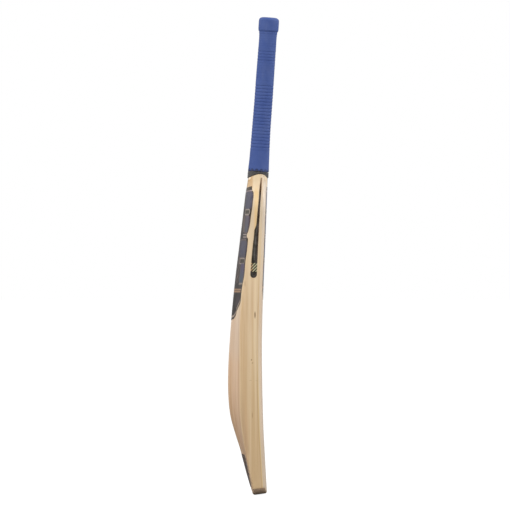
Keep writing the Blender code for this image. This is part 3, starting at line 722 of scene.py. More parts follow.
class Art:
    """Paints flat shapes, in millimetres, over a grid of points.

    A shape is a signed distance, negative inside."""

    def __init__(self, q, z, base):
        self.q, self.z = q, z
        self.colour = np.ones(q.shape + (3,)) * linear(base)

    def lay(self, shape, rgb, soft=0.55, amount=1.0):
        cover = (np.clip(0.5 - shape / soft, 0, 1) * amount)[..., None]
        self.colour = self.colour * (1 - cover) + linear(rgb) * cover

    def framed(self, shape, border, border_rgb, rgb, inset=0.0):
        """A shape with a border outside it, its fill set in from its own outline."""
        self.lay(shape - border, border_rgb)
        self.lay(shape + inset, rgb)

    def box(self, q, z, radius=0.0):
        """Rounded box over (from, to) ranges across and up."""
        dq = np.abs(self.q - (q[0] + q[1]) / 2) - (q[1] - q[0]) / 2 + radius
        dz = np.abs(self.z - (z[0] + z[1]) / 2) - (z[1] - z[0]) / 2 + radius
        outside = np.hypot(np.maximum(dq, 0), np.maximum(dz, 0))
        return outside + np.minimum(np.maximum(dq, dz), 0) - radius

    def line(self, start, end, width):
        """Straight line between two (q, z) points."""
        run_q, run_z = end[0] - start[0], end[1] - start[1]
        from_q, from_z = self.q - start[0], self.z - start[1]
        t = np.clip((from_q * run_q + from_z * run_z) / (run_q * run_q + run_z * run_z), 0, 1)
        return np.hypot(from_q - run_q * t, from_z - run_z * t) - width / 2


def panel_art(q, z, edge, foot_at):
    """Blue-grey panels in two columns either side of a dark centre strip.

    q is the distance from the centre line, edge the sheet's half width, foot_at the
    height of its foot; shapes run past 0 and edge where they fill the width."""
    art = Art(q, z, (54, 49, 46))
    far = edge - 1.3                 # outer side of the panels
    wide = 60                        # beyond any edge
    # header
    art.lay(art.box((-1, wide), (543.0, 556)), (82, 70, 50))
    art.lay(art.box((-1, 8), (543.0, 556)), (58, 53, 46))
    art.lay(art.line((7, 540.6), (wide, 542.6), width=2.0), (214, 196, 206))
    # top panel
    art.framed(art.box((15.0, far), (508.6, 540.0), radius=4.5), 1.1, (122, 98, 96),
               gradient(z, (86, 90, 118), (94, 94, 118), 509, 540))
    art.lay(art.box((31.0, 46.0), (513, 536), radius=5.0), (104, 103, 132), soft=6.0, amount=0.6)
    # dark lozenge with a pale outline
    art.framed(art.box((18.5, far - 2.4), (498.2, 507.2), radius=3.2), 0.9, (206, 192, 180),
               (70, 62, 36), inset=1.0)
    # second panel and its fan of lines
    art.framed(art.box((26.5, far - 0.4), (466.4, 496.0), radius=5.0), 1.0, (134, 108, 106),
               gradient(z, (84, 92, 112), (108, 96, 116), 470, 494))
    art.lay(art.box((4.0, 26.6), (467.0, 496.6), radius=2.0), (76, 65, 64), amount=0.8)
    for k in range(4):
        ray = art.line((6.5 + 4.6 * k, 496.4), (20.5 + 2.0 * k, 467.4), width=1.2)
        art.lay(ray, (162, 146, 138), amount=0.9)
    # dark notch with two bars, and a bent line below
    art.lay(art.box((4, wide), (456.4, 464.8), radius=1.0), (46, 42, 42))
    art.lay(art.box((22.0, far - 0.4), (461.6, 463.6), radius=0.8), (214, 196, 190))
    art.lay(art.box((22.0, far - 0.4), (457.2, 459.2), radius=0.8), (206, 186, 178))
    for start, end in (((9.5, 452.6), (30, 454.6)), ((30, 454.6), (46, 453.6))):
        art.lay(art.line(start, end, width=1.0), (160, 142, 150))
    # third panel
    art.framed(art.box((9.0, far), (421.8, 452.0), radius=6.5), 1.0, (108, 92, 90),
               gradient(z, (74, 74, 96), (84, 84, 108), 424, 450))
    art.lay(art.box((17.0, 40.0), (427, 448), radius=6.0), (88, 90, 120), soft=7.0, amount=0.6)
    # pale loop
    art.framed(art.box((18.0, far - 1.6), (410.6, 420.2), radius=4.0), 0.8, (204, 188, 176),
               (62, 54, 40), inset=1.0)
    # fourth panel
    art.framed(art.box((28.5, far - 0.2), (376.6, 411.0), radius=3.5), 1.0, (152, 142, 138),
               gradient(z, (80, 101, 120), (94, 83, 122), 380, 406), inset=0.2)
    # outlines of a twisted cord beside it
    low, high, turn, centre, swing = 376.5, 421.0, 22.0, 16.5, 5.6
    phase = 2 * np.pi * (np.clip(z, low, high) - low) / turn
    for sign in (-1, 1):
        middle = centre + sign * swing * np.sin(phase)
        cord = np.maximum((np.abs(q - middle) - 0.75) * 0.75, np.maximum(z - high, low - z))
        art.lay(cord, (164, 140, 136), amount=0.95)
    art.lay(art.line((28.0, 374.3), (wide, 375.4), width=1.7), (200, 184, 170))
    # tan bars
    art.lay(art.box((-1, 43.0), (359.6, 362.3), radius=0.8), (206, 164, 124))
    art.lay(art.box((-1, 43.0), (363.2, 366.0), radius=0.8), (204, 164, 126))
    # dark foot, a violet sheen and a pale line that follows the outline
    art.lay(art.box((-1, wide), (300, 357.6)), (36, 28, 25))
    art.lay(art.box((20.0, 40.0), (336, 354), radius=8.0), (72, 54, 70), soft=9.0, amount=0.6)
    rise = (z - foot_at) * 0.86
    art.lay(np.abs(rise - 4.4) - 1.4, (226, 206, 184), amount=0.95)
    art.lay(rise - 2.9, (58, 50, 42))
    # a fine line either side of the spine
    spine = np.maximum(np.abs(q - 4.2) - 0.45, np.maximum(424.0 - z, z - 541.0))
    art.lay(spine, (112, 104, 98), amount=0.8)
    # hairline border
    art.lay((edge - q) - 0.55, (66, 56, 48))
    return art.colour


# ----------------------------------------------------------------- stickers
# (z, x) in mm of the back sheet's sides, with a waist between its two halves
SHEET_SIDE = [(356.0, -33.6), (364.0, -32.6), (373.0, -31.3), (381.0, -29.6), (389.0, -28.1),
              (399.5, -27.0), (410.0, -26.4), (417.5, -25.6), (424.5, -24.5), (431.5, -23.6),
              (439.0, -22.6), (446.0, -22.0), (453.0, -21.5), (455.6, -21.7), (457.4, -22.9),
              (459.0, -23.5), (462.0, -23.4), (464.5, -22.7), (467.5, -21.2), (472.7, -19.7),
              (478.0, -18.5), (485.0, -17.3), (492.5, -16.5), (499.5, -15.7), (506.5, -14.5),
              (514.0, -13.4), (521.0, -12.7), (528.0, -11.8), (533.5, -11.4), (537.5, -11.5),
              (540.4, -12.6), (541.8, -13.8), (550.5, -14.4)]
# the same for its swept foot, which starts on the spine at FOOT_START
FOOT_START = 309.5
FOOT_SIDE = [(312.5, -46.8), (316.5, -44.3), (320.0, -42.8), (325.5, -41.8), (330.5, -39.8),
             (334.0, -38.2), (338.0, -36.3), (341.5, -35.2), (345.5, -34.2), (356.0, -33.6)]
MIN_HALF = 0.0006                    # least half width of a sheet
# (z, half width) in mm of the face sheet's foot and top, and of the toe sheet
FACE_FOOT = [(345.5, 0.0), (350.0, 15.0), (357.0, 33.0), (364.0, 44.0), (372.0, 46.2)]
FACE_TOP = [(480.0, 46.2), (495.0, 45.5), (508.0, 42.5), (523.5, 36.0), (540.0, 24.0),
            (551.0, 14.0)]
TOE_SIDE = [(14.5, 28.0), (15.0, 29.0), (17.5, 33.0), (27.0, 37.0), (41.0, 40.0), (54.0, 41.0),
            (63.5, 40.6), (66.5, 38.8), (68.6, 36.6), (70.0, 33.4), (70.9, 29.0), (71.5, 22.0)]
# (z, x) in mm of the edge sheets' sides towards the back and towards the face
EDGE_BACK_SIDE = [(385.4, -11.4), (385.9, -13.9), (387.1, -15.5), (389.0, -16.8),
                  (391.2, -17.2), (394.0, -17.1), (407.0, -16.0), (422.0, -14.9),
                  (443.0, -12.9), (457.0, -11.2), (471.0, -9.9), (474.5, -8.4), (480.0, -6.6),
                  (493.0, -5.2), (508.0, -4.0), (522.0, -2.5), (536.0, -1.6), (550.0, -0.5),
                  (564.0, 1.7)]
EDGE_FACE_SIDE = [(385.4, -11.4), (385.9, -8.9), (387.1, -7.3), (389.0, -6.0), (391.2, -5.6),
                  (395.0, -5.5), (407.0, -5.0), (422.0, -4.3), (443.0, -3.5), (457.0, -2.6),
                  (472.0, -1.9), (486.0, -1.2), (508.0, 0.0), (522.0, 1.0), (536.0, 2.0),
                  (550.0, 2.8), (564.0, 3.1)]


def straight(table, z):
    """Value at z, straight between a table's rows."""
    return float(np.interp(z, *zip(*table)))


def build_back_sticker():
    foot_z, foot_q = [FOOT_START], [0.0]
    for height, side in FOOT_SIDE:
        run, line = back_path(height / 1000.0)
        foot_z.append(height)
        foot_q.append(float(np.interp(side / 1000.0, line[:, 0], run)) * 1000.0)

    def edge_at(height, run, line):
        edge = float(np.interp(straight(SHEET_SIDE, height) / 1000.0, line[:, 0], run))
        if height < FOOT_SIDE[-1][0]:
            edge = min(edge, max(MIN_HALF, float(np.interp(height, foot_z, foot_q)) / 1000.0))
        return edge

    points, q, z, edge = sheet_grid(np.linspace(309.6, 550.8, 300), 157, back_path, edge_at)
    art = panel_art(q, z, edge, np.interp(q, foot_q, foot_z))
    return sheet("back_sticker_film", points, axis=0, direction=-1, colour=art)


def build_face_sticker():
    """The back's panels, drawn to a narrower sheet with a shorter foot."""
    def edge_at(height, run, line):
        return min(max(straight(FACE_FOOT + FACE_TOP, height) / 1000.0, MIN_HALF),
                   run[FACE_COUNT])

    foot_line, foot_stretch, widening = 376.0, 1.9, 1.075

    def stretched(z):
        return np.where(z < foot_line, foot_line - (foot_line - z) * foot_stretch, z)

    points, q, z, edge = sheet_grid(np.linspace(345.6, 551.0, 270), 141, face_path, edge_at)
    foot_z, foot_q = zip(*FACE_FOOT)
    art = panel_art(q * widening, stretched(z), edge * widening,
                    stretched(np.interp(q, foot_q, foot_z)))
    return sheet("face_sticker_film", points, axis=0, direction=1, colour=art)


def build_toe_sticker():
    def edge_at(height, run, line):
        return straight(TOE_SIDE, height) / 1000.0

    points, q, z, edge = sheet_grid(np.linspace(14.6, 71.4, 110), 101, back_path, edge_at)
    art = Art(q, z, (100, 80, 66))
    side = edge - q
    # a border of small triangles and a line inside it
    pitch, depth, border = 6.4, 5.0, 8.6
    teeth = np.abs(((z - 15.0) / pitch) % 1.0 - 0.5) * 2.0
    art.lay(side - 0.6 - depth * teeth, (226, 206, 180), amount=0.95)
    art.lay(np.abs(side - 7.4) - 0.5, (196, 178, 156), amount=0.9)
    # chevrons, in turn blue-grey and tan
    inner = np.minimum(side, np.minimum(71.4 - z, z - 14.5)) > border
    for k in range(6):
        chevron = np.abs(z - (61.0 - 8.0 * k) - 0.42 * (q - 8)) - 1.35
        rgb = (96, 98, 126) if k % 2 == 0 else (150, 122, 98)
        art.lay(np.where(inner, chevron, 5.0), rgb, amount=0.9)
    return sheet("toe_sticker_film", points, axis=0, direction=-1, colour=art.colour)


def edge_art(x, z, back, face):
    # the upper length is a brown that deepens downwards
    art = Art(x, z, gradient(z, (54, 49, 38), (60, 38, 6), 478, 496))
    art.lay(np.maximum(-1.0, 500.0 - z), gradient(z, (60, 32, 0), (150, 104, 44), 534, 564))
    # borders of the lettering-free middle length
    body = np.maximum(z - 486.0, 414.0 - z)
    art.lay(np.maximum(x - back - 1.3, body), (84, 66, 22), amount=0.9)
    art.lay(np.maximum(face - x - 1.5, body), (96, 62, 36), amount=0.9)
    # a column of plain ticks, some wider
    middle = back * 0.56 + face * 0.44
    top_tick, tick_pitch, tick_half = 471.5, 2.15, 0.72
    for k in range(26):
        width = (0.55 + 0.35 * ((k * 7) % 5 == 2)) * (0.9 + 0.25 * ((k * 3) % 4 == 1))
        height = np.abs(z - (top_tick - tick_pitch * k)) - tick_half
        art.lay(np.maximum(np.abs(x - middle) - width, height), (146, 143, 140), amount=0.8)
    # slanted stripes above the round foot, tan towards the back
    stripe = ((z - x) / 5.5) % 1.0
    band = np.maximum(396.6 - z, z - 411.8)
    light = np.maximum((np.abs(stripe - 0.5) - 0.225) * 3.9, band)
    art.lay(band - 0.4, (20, 14, 0))
    art.lay(light, (255, 255, 200), soft=0.30)
    art.lay(np.maximum(light, x + 12.9), (250, 206, 140), soft=0.35)
    # a ring in the foot
    ring = np.abs(np.hypot(x + 11.2, (z - 391.6) * 1.15) - 2.9) - 0.4
    art.lay(ring, (92, 92, 84), amount=0.8)
    return art.colour


def build_edge_sticker(name, side):
    levels = np.concatenate([np.linspace(385.5, 392.0, 16), np.linspace(392.6, 564.0, 300)])
    columns = 25
    counts = (6, 12, 40, 8, 6)
    points, across, sides = [], [], []
    for height in levels:
        z = height / 1000.0
        line = section(z, counts)[counts[0]:sum(counts[:4])][::-1]
        back, face = straight(EDGE_BACK_SIDE, height), straight(EDGE_FACE_SIDE, height)
        x = np.linspace(back, face, columns) / 1000.0
        y = np.interp(x, line[:, 0], line[:, 1]) * side
        points.append(np.column_stack([x, y, ring_z(z, x)]))
        across.append(x * 1000)
        sides.append((back, face))
    heights = np.repeat(levels[:, None], columns, axis=1)
    sides = np.array(sides)
    art = edge_art(np.stack(across), heights, sides[:, :1], sides[:, 1:])
    return sheet(name, np.stack(points), axis=1, direction=side, colour=art)


back_film = build_back_sticker()
face_film = build_face_sticker()
toe_film = build_toe_sticker()
edge_left = build_edge_sticker("edge_sticker_left_film", -1)
edge_right = build_edge_sticker("edge_sticker_right_film", 1)


# ------------------------------------------------------------ material kit
def put(socket, value):
    """Link an output to a socket, or set its value; colours get an alpha of 1."""
    if isinstance(value, Signal):
        value = value.socket
    if isinstance(value, bpy.types.NodeSocket):
        socket.id_data.links.new(value, socket)
    elif socket.type == "RGBA":
        socket.default_value = (*[float(v) for v in value], 1.0)
    else:
        socket.default_value = value


def add_node(tree, kind, inputs=None, **settings):
    node = tree.nodes.new(kind)
    for key, value in settings.items():
        setattr(node, key, value)
    for key, value in (inputs or {}).items():
        put(node.inputs[key], value)
    return node


class Signal:
    """A node's output; arithmetic on it adds math nodes."""

    def __init__(self, socket):
        self.socket = socket

    def feed(self, kind, inputs, output=0, **settings):
        node = add_node(self.socket.id_data, kind, inputs, **settings)
        return Signal(node.outputs[output])

    def math(self, operation, other=0.0):
        return self.feed("ShaderNodeMath", {0: self, 1: other, 2: 0.0}, operation=operation)

    def __add__(self, other):
        return self.math("ADD", other)

    def __radd__(self, other):
        return self.feed("ShaderNodeMath", {0: other, 1: self, 2: 0.0}, operation="ADD")

    def __sub__(self, other):
        return self.math("SUBTRACT", other)

    def __mul__(self, other):
        return self.math("MULTIPLY", other)

    def __truediv__(self, other):
        return self.math("DIVIDE", other)

    def __abs__(self):
        return self.math("ABSOLUTE")

    def ramp(self, start, end, low=0.0, high=1.0):
        """Smooth step from low at start to high at end."""
        return self.feed("ShaderNodeMapRange", {0: self, 1: start, 2: end, 3: low, 4: high},
                         interpolation_type="SMOOTHSTEP", clamp=True)

    def blend(self, first, second):
        """Colour from first to second, with this as the factor."""
        return self.feed("ShaderNodeMix", {0: self, 6: first, 7: second}, output=2,
                         data_type="RGBA", blend_type="MIX")

    def mix(self, factor, colour, mode="MIX"):
        """This colour with another laid over it."""
        return self.feed("ShaderNodeMix", {0: factor, 6: self, 7: colour}, output=2,
                         data_type="RGBA", blend_type=mode)

    def shade(self, factor, colour):
        return self.mix(factor, colour, "MULTIPLY")


class Material:
    def __init__(self, name):
        self.material = bpy.data.materials.new(name)
        self.material.use_nodes = True
        self.tree = self.material.node_tree
        self.tree.nodes.clear()
        self.bsdf = add_node(self.tree, "ShaderNodeBsdfPrincipled")
        add_node(self.tree, "ShaderNodeOutputMaterial", {0: self.bsdf.outputs[0]})
        self.position = self.node("ShaderNodeTexCoord", output="Object")

    def node(self, kind, inputs=None, output=0, **settings):
        return Signal(add_node(self.tree, kind, inputs, **settings).outputs[output])

    def axes(self):
        node = add_node(self.tree, "ShaderNodeSeparateXYZ", {0: self.position})
        return [Signal(socket) for socket in node.outputs]

    def scaled(self, stretch, shift=(0, 0, 0)):
        return self.node("ShaderNodeMapping", {0: self.position, 1: shift, 3: stretch})

    def noise(self, stretch=None, scale=1.0, detail=2.0, rough=0.5, shift=(0, 0, 0)):
        vector = self.scaled(stretch, shift) if stretch else self.position
        return self.node("ShaderNodeTexNoise", {"Vector": vector, "Scale": scale,
                                                "Detail": detail, "Roughness": rough})

    def attribute(self, name, output="Fac"):
        return self.node("ShaderNodeAttribute", output=output, attribute_name=name)

    def finish(self, colour, roughness, height, strength, distance, **others):
        """Set the surface, with a bump map; others are inputs with _ for a space."""
        normal = self.node("ShaderNodeBump", {"Strength": strength, "Distance": distance,
                                              "Height": height})
        inputs = {"Base Color": colour, "Roughness": roughness, "Normal": normal}
        inputs.update((key.replace("_", " "), value) for key, value in others.items())
        for key, value in inputs.items():
            put(self.bsdf.inputs[key], value)
        return self.material


def srgb(*rgb):
    return linear(rgb)


# ------------------------------------------------------------------- willow
# Marks on the edge at -y: x, z, half width, half height, strength
EDGE_MARKS = [(-0.0089, 0.3195, 0.00115, 0.0066, 1.0), (-0.0152, 0.2395, 0.0012, 0.0017, 0.65),
              (-0.0134, 0.2340, 0.0014, 0.0012, 0.55), (-0.0170, 0.2030, 0.0030, 0.0006, 0.25),
              (-0.0060, 0.2025, 0.0026, 0.0005, 0.22)]


def growth_rings(mat, x, y):
    """Ring lines and a tone for each ring.

    The rings stand nearly square to the face: fine straight lines on it, broad faint
    streaks on the edges."""
    per_metre, slant = 1.0 / 0.0092, 0.12
    warp = mat.noise((9.0, 9.0, 1.15), detail=2.0, rough=0.45)
    ripple = mat.noise((40.0, 40.0, 3.0), detail=1.0)
    depth = y + x * slant + (warp - 0.5) * 0.016 + (ripple - 0.5) * 0.0022
    phase = (depth * per_metre).math("FRACT")
    ring = phase.ramp(start=0.25, end=0.86) * phase.ramp(start=1.0, end=0.86)
    number = (depth * per_metre).math("FLOOR")
    return ring, mat.node("ShaderNodeTexWhiteNoise", {"W": number}, noise_dimensions="1D")


def willow_zones(col, x, z, ahead, behind, streak):
    """Shifts of colour by place on the blade."""
    # painted light: paler towards the shoulders, where more light falls from above, and a little
    # greyer at the toe
    col = col.mix(z.ramp(start=0.30, end=0.52, high=0.60), srgb(252, 232, 196))
    col = col.mix(z.ramp(start=0.26, end=0.02, high=0.30), srgb(186, 158, 122))
    col = col.mix(z.ramp(start=0.545, end=0.562, high=0.42), srgb(208, 182, 138))
    col = col.shade(z.ramp(start=0.40, end=0.53), (0.82, 0.82, 0.84))
    col = col.shade(z.ramp(start=0.30, end=0.15), (0.93, 0.91, 0.86))
    fore = x.ramp(start=-0.0015, end=0.0025) * z.ramp(start=0.44, end=0.51)
    col = col.shade(fore, (0.92, 0.92, 0.96))
    # the shaved back is rosier than the edges
    shaved = behind.ramp(start=0.0, end=3.5) * z.ramp(start=0.335, end=0.300)
    col = col.shade(shaved, (0.97, 0.90, 0.97))
    # painted light: a paler band on the back slope at mid heights, where it faces a side light
    pale = behind.ramp(start=0.0, end=3.5) * (
        z.ramp(start=0.345, end=0.325) * z.ramp(start=0.225, end=0.265))
    col = col.mix(pale * 0.45, srgb(214, 192, 168))
    # painted shade: low down the edge darkens next to that shaving, where it turns to the back,
    # and the face's rounding darkens too
    rear = (behind.ramp(start=-9.0, end=-2.0) * behind.ramp(start=0.8, end=-0.6)
            * z.ramp(start=0.20, end=0.12))
    rear = rear * z.ramp(start=0.058, end=0.086)
    col = col.shade(rear, (0.87, 0.84, 0.85))
    brow = ahead.ramp(start=2.2, end=3.6) * z.ramp(start=0.120, end=0.075)
    col = col.shade(brow, (0.83, 0.82, 0.73))
    # a yellow sap streak beside the edge sticker, and tan painted shade in the hollow behind the
    # shoulder
    side = x.ramp(start=-0.0125, end=-0.0080) * x.ramp(start=-0.0010, end=-0.0040)
    sap = side * (z.ramp(start=0.445, end=0.480) * z.ramp(start=0.556, end=0.530))
    sap = sap * streak.ramp(start=0.25, end=0.6, low=0.6)
    col = col.mix(sap * 0.55, srgb(232, 190, 112))
    hollow = x.ramp(start=-0.0108, end=-0.0150) * z.ramp(start=0.5440, end=0.5480)
    col = col.mix(hollow * 0.75, srgb(190, 148, 92))
    # the seam of a clear sheet over the face makes a fine line; the paler band beyond it is a
    # painted reflection
    seam = abs(ahead - -0.2).ramp(start=0.95, end=0.15)
    pale_reflection = ahead.ramp(start=1.0, end=2.6) * z.ramp(start=0.565, end=0.548)
    gold = (ahead.ramp(start=0.1, end=0.6) * ahead.ramp(start=3.2, end=1.6)
            * z.ramp(start=0.30, end=0.16))
    col = col.mix(gold * 0.40, srgb(216, 188, 118))
    col = col.mix(pale_reflection * 0.36, srgb(222, 213, 204))
    seam_amount = z.ramp(start=0.36, end=0.33, low=0.14, high=0.42)
    return col.mix(seam * seam_amount, srgb(168, 128, 88))


def willow_marks(mat, col, x, y, z):
    # small dark flecks drawn out along the grain, in a few of the cells
    cell = mat.node("ShaderNodeTexVoronoi", {"Vector": mat.scaled((150.0, 150.0, 22.0)),
                                             "Scale": 1.0, "Randomness": 1.0},
                    output="Color", feature="F1")
    chosen = mat.node("ShaderNodeSeparateXYZ", {0: cell}).ramp(start=0.955, end=0.965)
    distance = Signal(cell.socket.node.outputs["Distance"])
    fleck = distance.ramp(start=0.17, end=0.08) * chosen
    col = col.mix(fleck * 0.45, srgb(140, 98, 58))
    near = y.ramp(start=-0.045, end=-0.050)
    for mark_x, mark_z, width, height, amount in EDGE_MARKS:
        dx = (x - mark_x) / width
        dz = (z - mark_z) / height
        mark = (dx * dx + dz * dz).math("SQRT").ramp(start=1.25, end=0.45) * near
        col = col.mix(mark * amount, srgb(128, 84, 44))
    return col


def willow_material():
    mat = Material("willow_grain")
    x, y, z = mat.axes()
    ring, tone = growth_rings(mat, x, y)
    fibre = mat.noise((950.0, 950.0, 16.0), detail=3.0, rough=0.6)
    streak = mat.noise((95.0, 95.0, 1.9), detail=4.0, rough=0.55)
    broad = mat.noise((26.0, 26.0, 1.5), detail=2.0)
    rosy = mat.noise((60.0, 48.0, 2.6), detail=2.0, shift=(3.0, 1.0, 2.0))
    ahead, behind = mat.attribute("ahead"), mat.attribute("behind")
    # cream to tan streaks, then rosy and broad patches
    col = streak.ramp(start=0.34, end=0.66).blend(srgb(236, 214, 178), srgb(214, 182, 138))
    col = col.mix(rosy.ramp(start=0.48, end=0.68) * 0.50, srgb(224, 186, 152))
    col = col.mix(broad.ramp(start=0.35, end=0.68) * 0.28, srgb(200, 164, 116))
    # rings, stronger on the face, and fibres
    col = col.mix(tone * 0.16, srgb(206, 172, 128))
    ring_amount = ahead.ramp(start=4.8, end=7.2) * 0.34 + 0.19
    col = col.mix(ring * ring_amount, srgb(180, 138, 94))
    col = col.mix(fibre.ramp(start=0.45, end=0.72) * 0.20, srgb(178, 140, 98))
    col = willow_zones(col, x, z, ahead, behind, streak)
    col = willow_marks(mat, col, x, y, z)
    return mat.finish(col, fibre.ramp(start=0.3, end=0.7, low=0.36, high=0.50),
                      height=fibre * 0.6 + ring * -0.5, strength=0.22, distance=0.00035,
                      Specular_IOR_Level=0.50, Coat_Weight=0.15, Coat_Roughness=0.30)


# --------------------------------------------------------- other materials
def cane_material():
    mat = Material("cane_fibre")
    x, _, z = mat.axes()
    fibre = mat.noise((1500.0, 1500.0, 20.0), detail=2.0, rough=0.6)
    coarse = mat.noise((420.0, 420.0, 7.0), detail=3.0)
    tint = mat.noise((60.0, 60.0, 3.0), detail=1.0)
    col = coarse.ramp(start=0.4, end=0.65).blend(srgb(226, 200, 150), srgb(202, 168, 114))
    col = col.mix(fibre.ramp(start=0.52, end=0.66) * 0.6, srgb(128, 92, 56))
    col = col.mix(tint * 0.25, srgb(190, 150, 98))
    # tan behind, with a painted highlight along its top edge (the pale lip), and pale in front
    # where the splice meets the shoulders
    rise = z - (x + 0.0197) * 0.36
    rear = x.ramp(start=-0.0110, end=-0.0150) * z.ramp(start=0.580, end=0.572)
    col = col.mix(rear * 0.55, srgb(186, 144, 90))
    lip = x.ramp(start=-0.0118, end=-0.0145) * rise.ramp(start=0.5598, end=0.5614)
    col = col.mix(lip * 0.80, srgb(255, 234, 206))
    front = x.ramp(start=0.0030, end=0.0065) * z.ramp(start=0.580, end=0.572)
    col = col.mix(front * 0.65, srgb(238, 220, 194))
    return mat.finish(col, fibre.ramp(start=0.3, end=0.7, low=0.5, high=0.62),
                      height=fibre, strength=0.3, distance=0.0003)


def strip_material():
    mat = Material("spring_strip_rubber")
    speck = mat.noise(scale=700.0, detail=3.0)
    return mat.finish(speck.blend(srgb(46, 42, 39), srgb(62, 57, 52)),
                      speck.ramp(start=0.3, end=0.7, low=0.72, high=0.88),
                      height=speck, strength=0.25, distance=0.0003)


def groove_mask(up, ribs):
    """1 in the grooves of a ribbed length."""
    low, high, pitch = ribs[:3]
    phase = (up - low) * (1.0 / pitch)
    near = abs((phase + 0.5).math("FRACT") - 0.5)
    inside = (up.ramp(start=low - 0.001, end=low + 0.002)
              * up.ramp(start=high + 0.001, end=high - 0.002))
    return near.ramp(start=0.17, end=0.05) * inside


def grip_material():
    mat = Material("grip_rubber_blue")
    x, y, z = mat.axes()
    # distance up the leaning axis and angle round it
    up = (x - FOOT_X) * math.sin(LEAN) + (z - FOOT_Z) * math.cos(LEAN)
    angle = y.math("ARCTAN2", x - (FOOT_X + (z - FOOT_Z) * math.tan(LEAN)))
    fine = mat.noise(scale=2600.0, detail=2.0)
    cloud = mat.noise(scale=55.0, detail=3.0)
    # fine crossed lines pressed into the rubber
    turns, rise = angle * 22.0, up * (2 * math.pi / 0.0016)
    knurl = (turns + rise).math("SINE") * (turns - rise).math("SINE") * 0.5
    groove_shade = groove_mask(up, LOW_RIBS).math("MAXIMUM", groove_mask(up, HIGH_RIBS) * 0.75)
    # the scalloped hem, with painted shadow in the crease along the scallops
    wave = abs((angle * HEM_TURNS + HEM_PHASE).math("SINE"))
    off = up - (wave * HEM_HEIGHT + HEM_FOOT)
    hem_crease_shadow = abs(off).ramp(start=0.0017, end=0.0003)
    below = off.ramp(start=0.0003, end=-0.0012)
    col = cloud.ramp(start=0.3, end=0.7).blend(srgb(65, 86, 146), srgb(73, 93, 151))
    col = col.mix(fine.ramp(start=0.4, end=0.7) * 0.25, srgb(86, 104, 160))
    # painted shade in the grooves between the ribs
    col = col.mix(groove_shade * 0.50, srgb(40, 58, 112))
    col = col.mix(below * 0.85, srgb(58, 62, 84))
    col = col.mix(hem_crease_shadow * 0.60, srgb(38, 42, 68))
    # handled rubber is a little faded and dusty in places
    worn = mat.noise((70.0, 70.0, 22.0), detail=4.0, rough=0.6, shift=(4.0, 2.0, 7.0))
    col = col.mix(worn.ramp(start=0.5, end=0.75) * 0.22, srgb(96, 108, 150))
    return mat.finish(col, fine.ramp(start=0.3, end=0.7, low=0.58, high=0.74),
                      height=knurl * 0.6 + fine * 0.5, strength=0.30, distance=0.00022,
                      Specular_IOR_Level=0.15)


def tape_material():
    mat = Material("black_binding_cord")
    x, y, z = mat.axes()
    angle = y.math("ARCTAN2", x - FOOT_X)
    twist = (angle * 150.0 + z * 3800.0).math("SINE")
    grain = mat.noise(scale=1400.0, detail=3.0)
    fuzz = mat.noise((600.0, 600.0, 2600.0), detail=2.0)
    col = twist.ramp(start=-0.6, end=0.8).blend(srgb(44, 42, 42), srgb(78, 77, 80))
    col = col.mix(fuzz.ramp(start=0.5, end=0.7) * 0.4, srgb(104, 102, 104))
    return mat.finish(col, grain.ramp(start=0.3, end=0.7, low=0.6, high=0.8),
                      height=twist * 0.4 + grain, strength=0.5, distance=0.0003,
                      Sheen_Weight=0.2)


def twine_material():
    mat = Material("waxed_twine")
    wave = mat.node("ShaderNodeTexWave", {"Vector": mat.position, "Scale": 320.0,
                                          "Distortion": 0.4}, bands_direction="Z")
    grain = mat.noise(scale=900.0, detail=3.0)
    col = wave.ramp(start=0.1, end=0.7).blend(srgb(110, 92, 66), srgb(176, 158, 126))
    return mat.finish(col, grain.ramp(start=0.3, end=0.7, low=0.7, high=0.9),
                      height=wave + grain * 0.2, strength=0.7, distance=0.0005)


def guard_material():
    mat = Material("toe_guard_rubber")
    _, _, z = mat.axes()
    grain = mat.noise(scale=420.0, detail=4.0, rough=0.6)
    broad = mat.noise((60.0, 60.0, 120.0), detail=2.0)
    col = grain.ramp(start=0.35, end=0.7).blend(srgb(148, 126, 104), srgb(176, 150, 124))
    col = col.mix(broad.ramp(start=0.5, end=0.75) * 0.4, srgb(122, 104, 86))
    # painted shade: darker towards the bottom, where the toe rounds under
    col = col.mix(z.ramp(start=0.0040, end=-0.0010, high=0.25), srgb(104, 92, 80))
    col = col.mix(z.ramp(start=0.0085, end=0.0105, high=0.5), srgb(176, 140, 116))
    return mat.finish(col, grain.ramp(start=0.3, end=0.7, low=0.62, high=0.82),
                      height=grain, strength=0.35, distance=0.0004)


def film_material(name, gloss, tint, shine):
    """Printed film: base roughness, tint over the art and specular level."""
    mat = Material(name)
    art = mat.attribute("art", "Color").shade(1.0, tint)
    grain = mat.noise((700.0, 700.0, 30.0), detail=2.0)
    cloud = mat.noise((90.0, 90.0, 60.0), detail=3.0)
    dots = mat.noise(scale=2400.0, detail=1.0)
    col = art.mix(cloud.ramp(start=0.35, end=0.7) * 0.10, (0.55, 0.50, 0.48))
    col = col.mix(dots.ramp(start=0.45, end=0.7) * 0.10, (0.02, 0.02, 0.02))
    # the film follows the fibres under it, faintly
    return mat.finish(col, cloud.ramp(start=0.3, end=0.7, low=gloss - 0.05, high=gloss + 0.10),
                      height=grain, strength=0.12, distance=0.00025, Specular_IOR_Level=shine)


def give(material, *pieces):
    for piece in pieces:
        piece.data.materials.clear()
        piece.data.materials.append(material)


give(willow_material(), blade)
give(cane_material(), *canes)
give(strip_material(), *strips)
give(guard_material(), guard)
give(grip_material(), grip)
give(tape_material(), tape)
give(film_material("sticker_print", gloss=0.46, tint=(0.53, 0.51, 0.51), shine=0.19),
     back_film, toe_film, edge_left, edge_right)
give(film_material("sticker_print_face", gloss=0.42, tint=(0.92, 0.88, 0.92), shine=0.55),
     face_film)
give(twine_material(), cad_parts["twine_binding"])

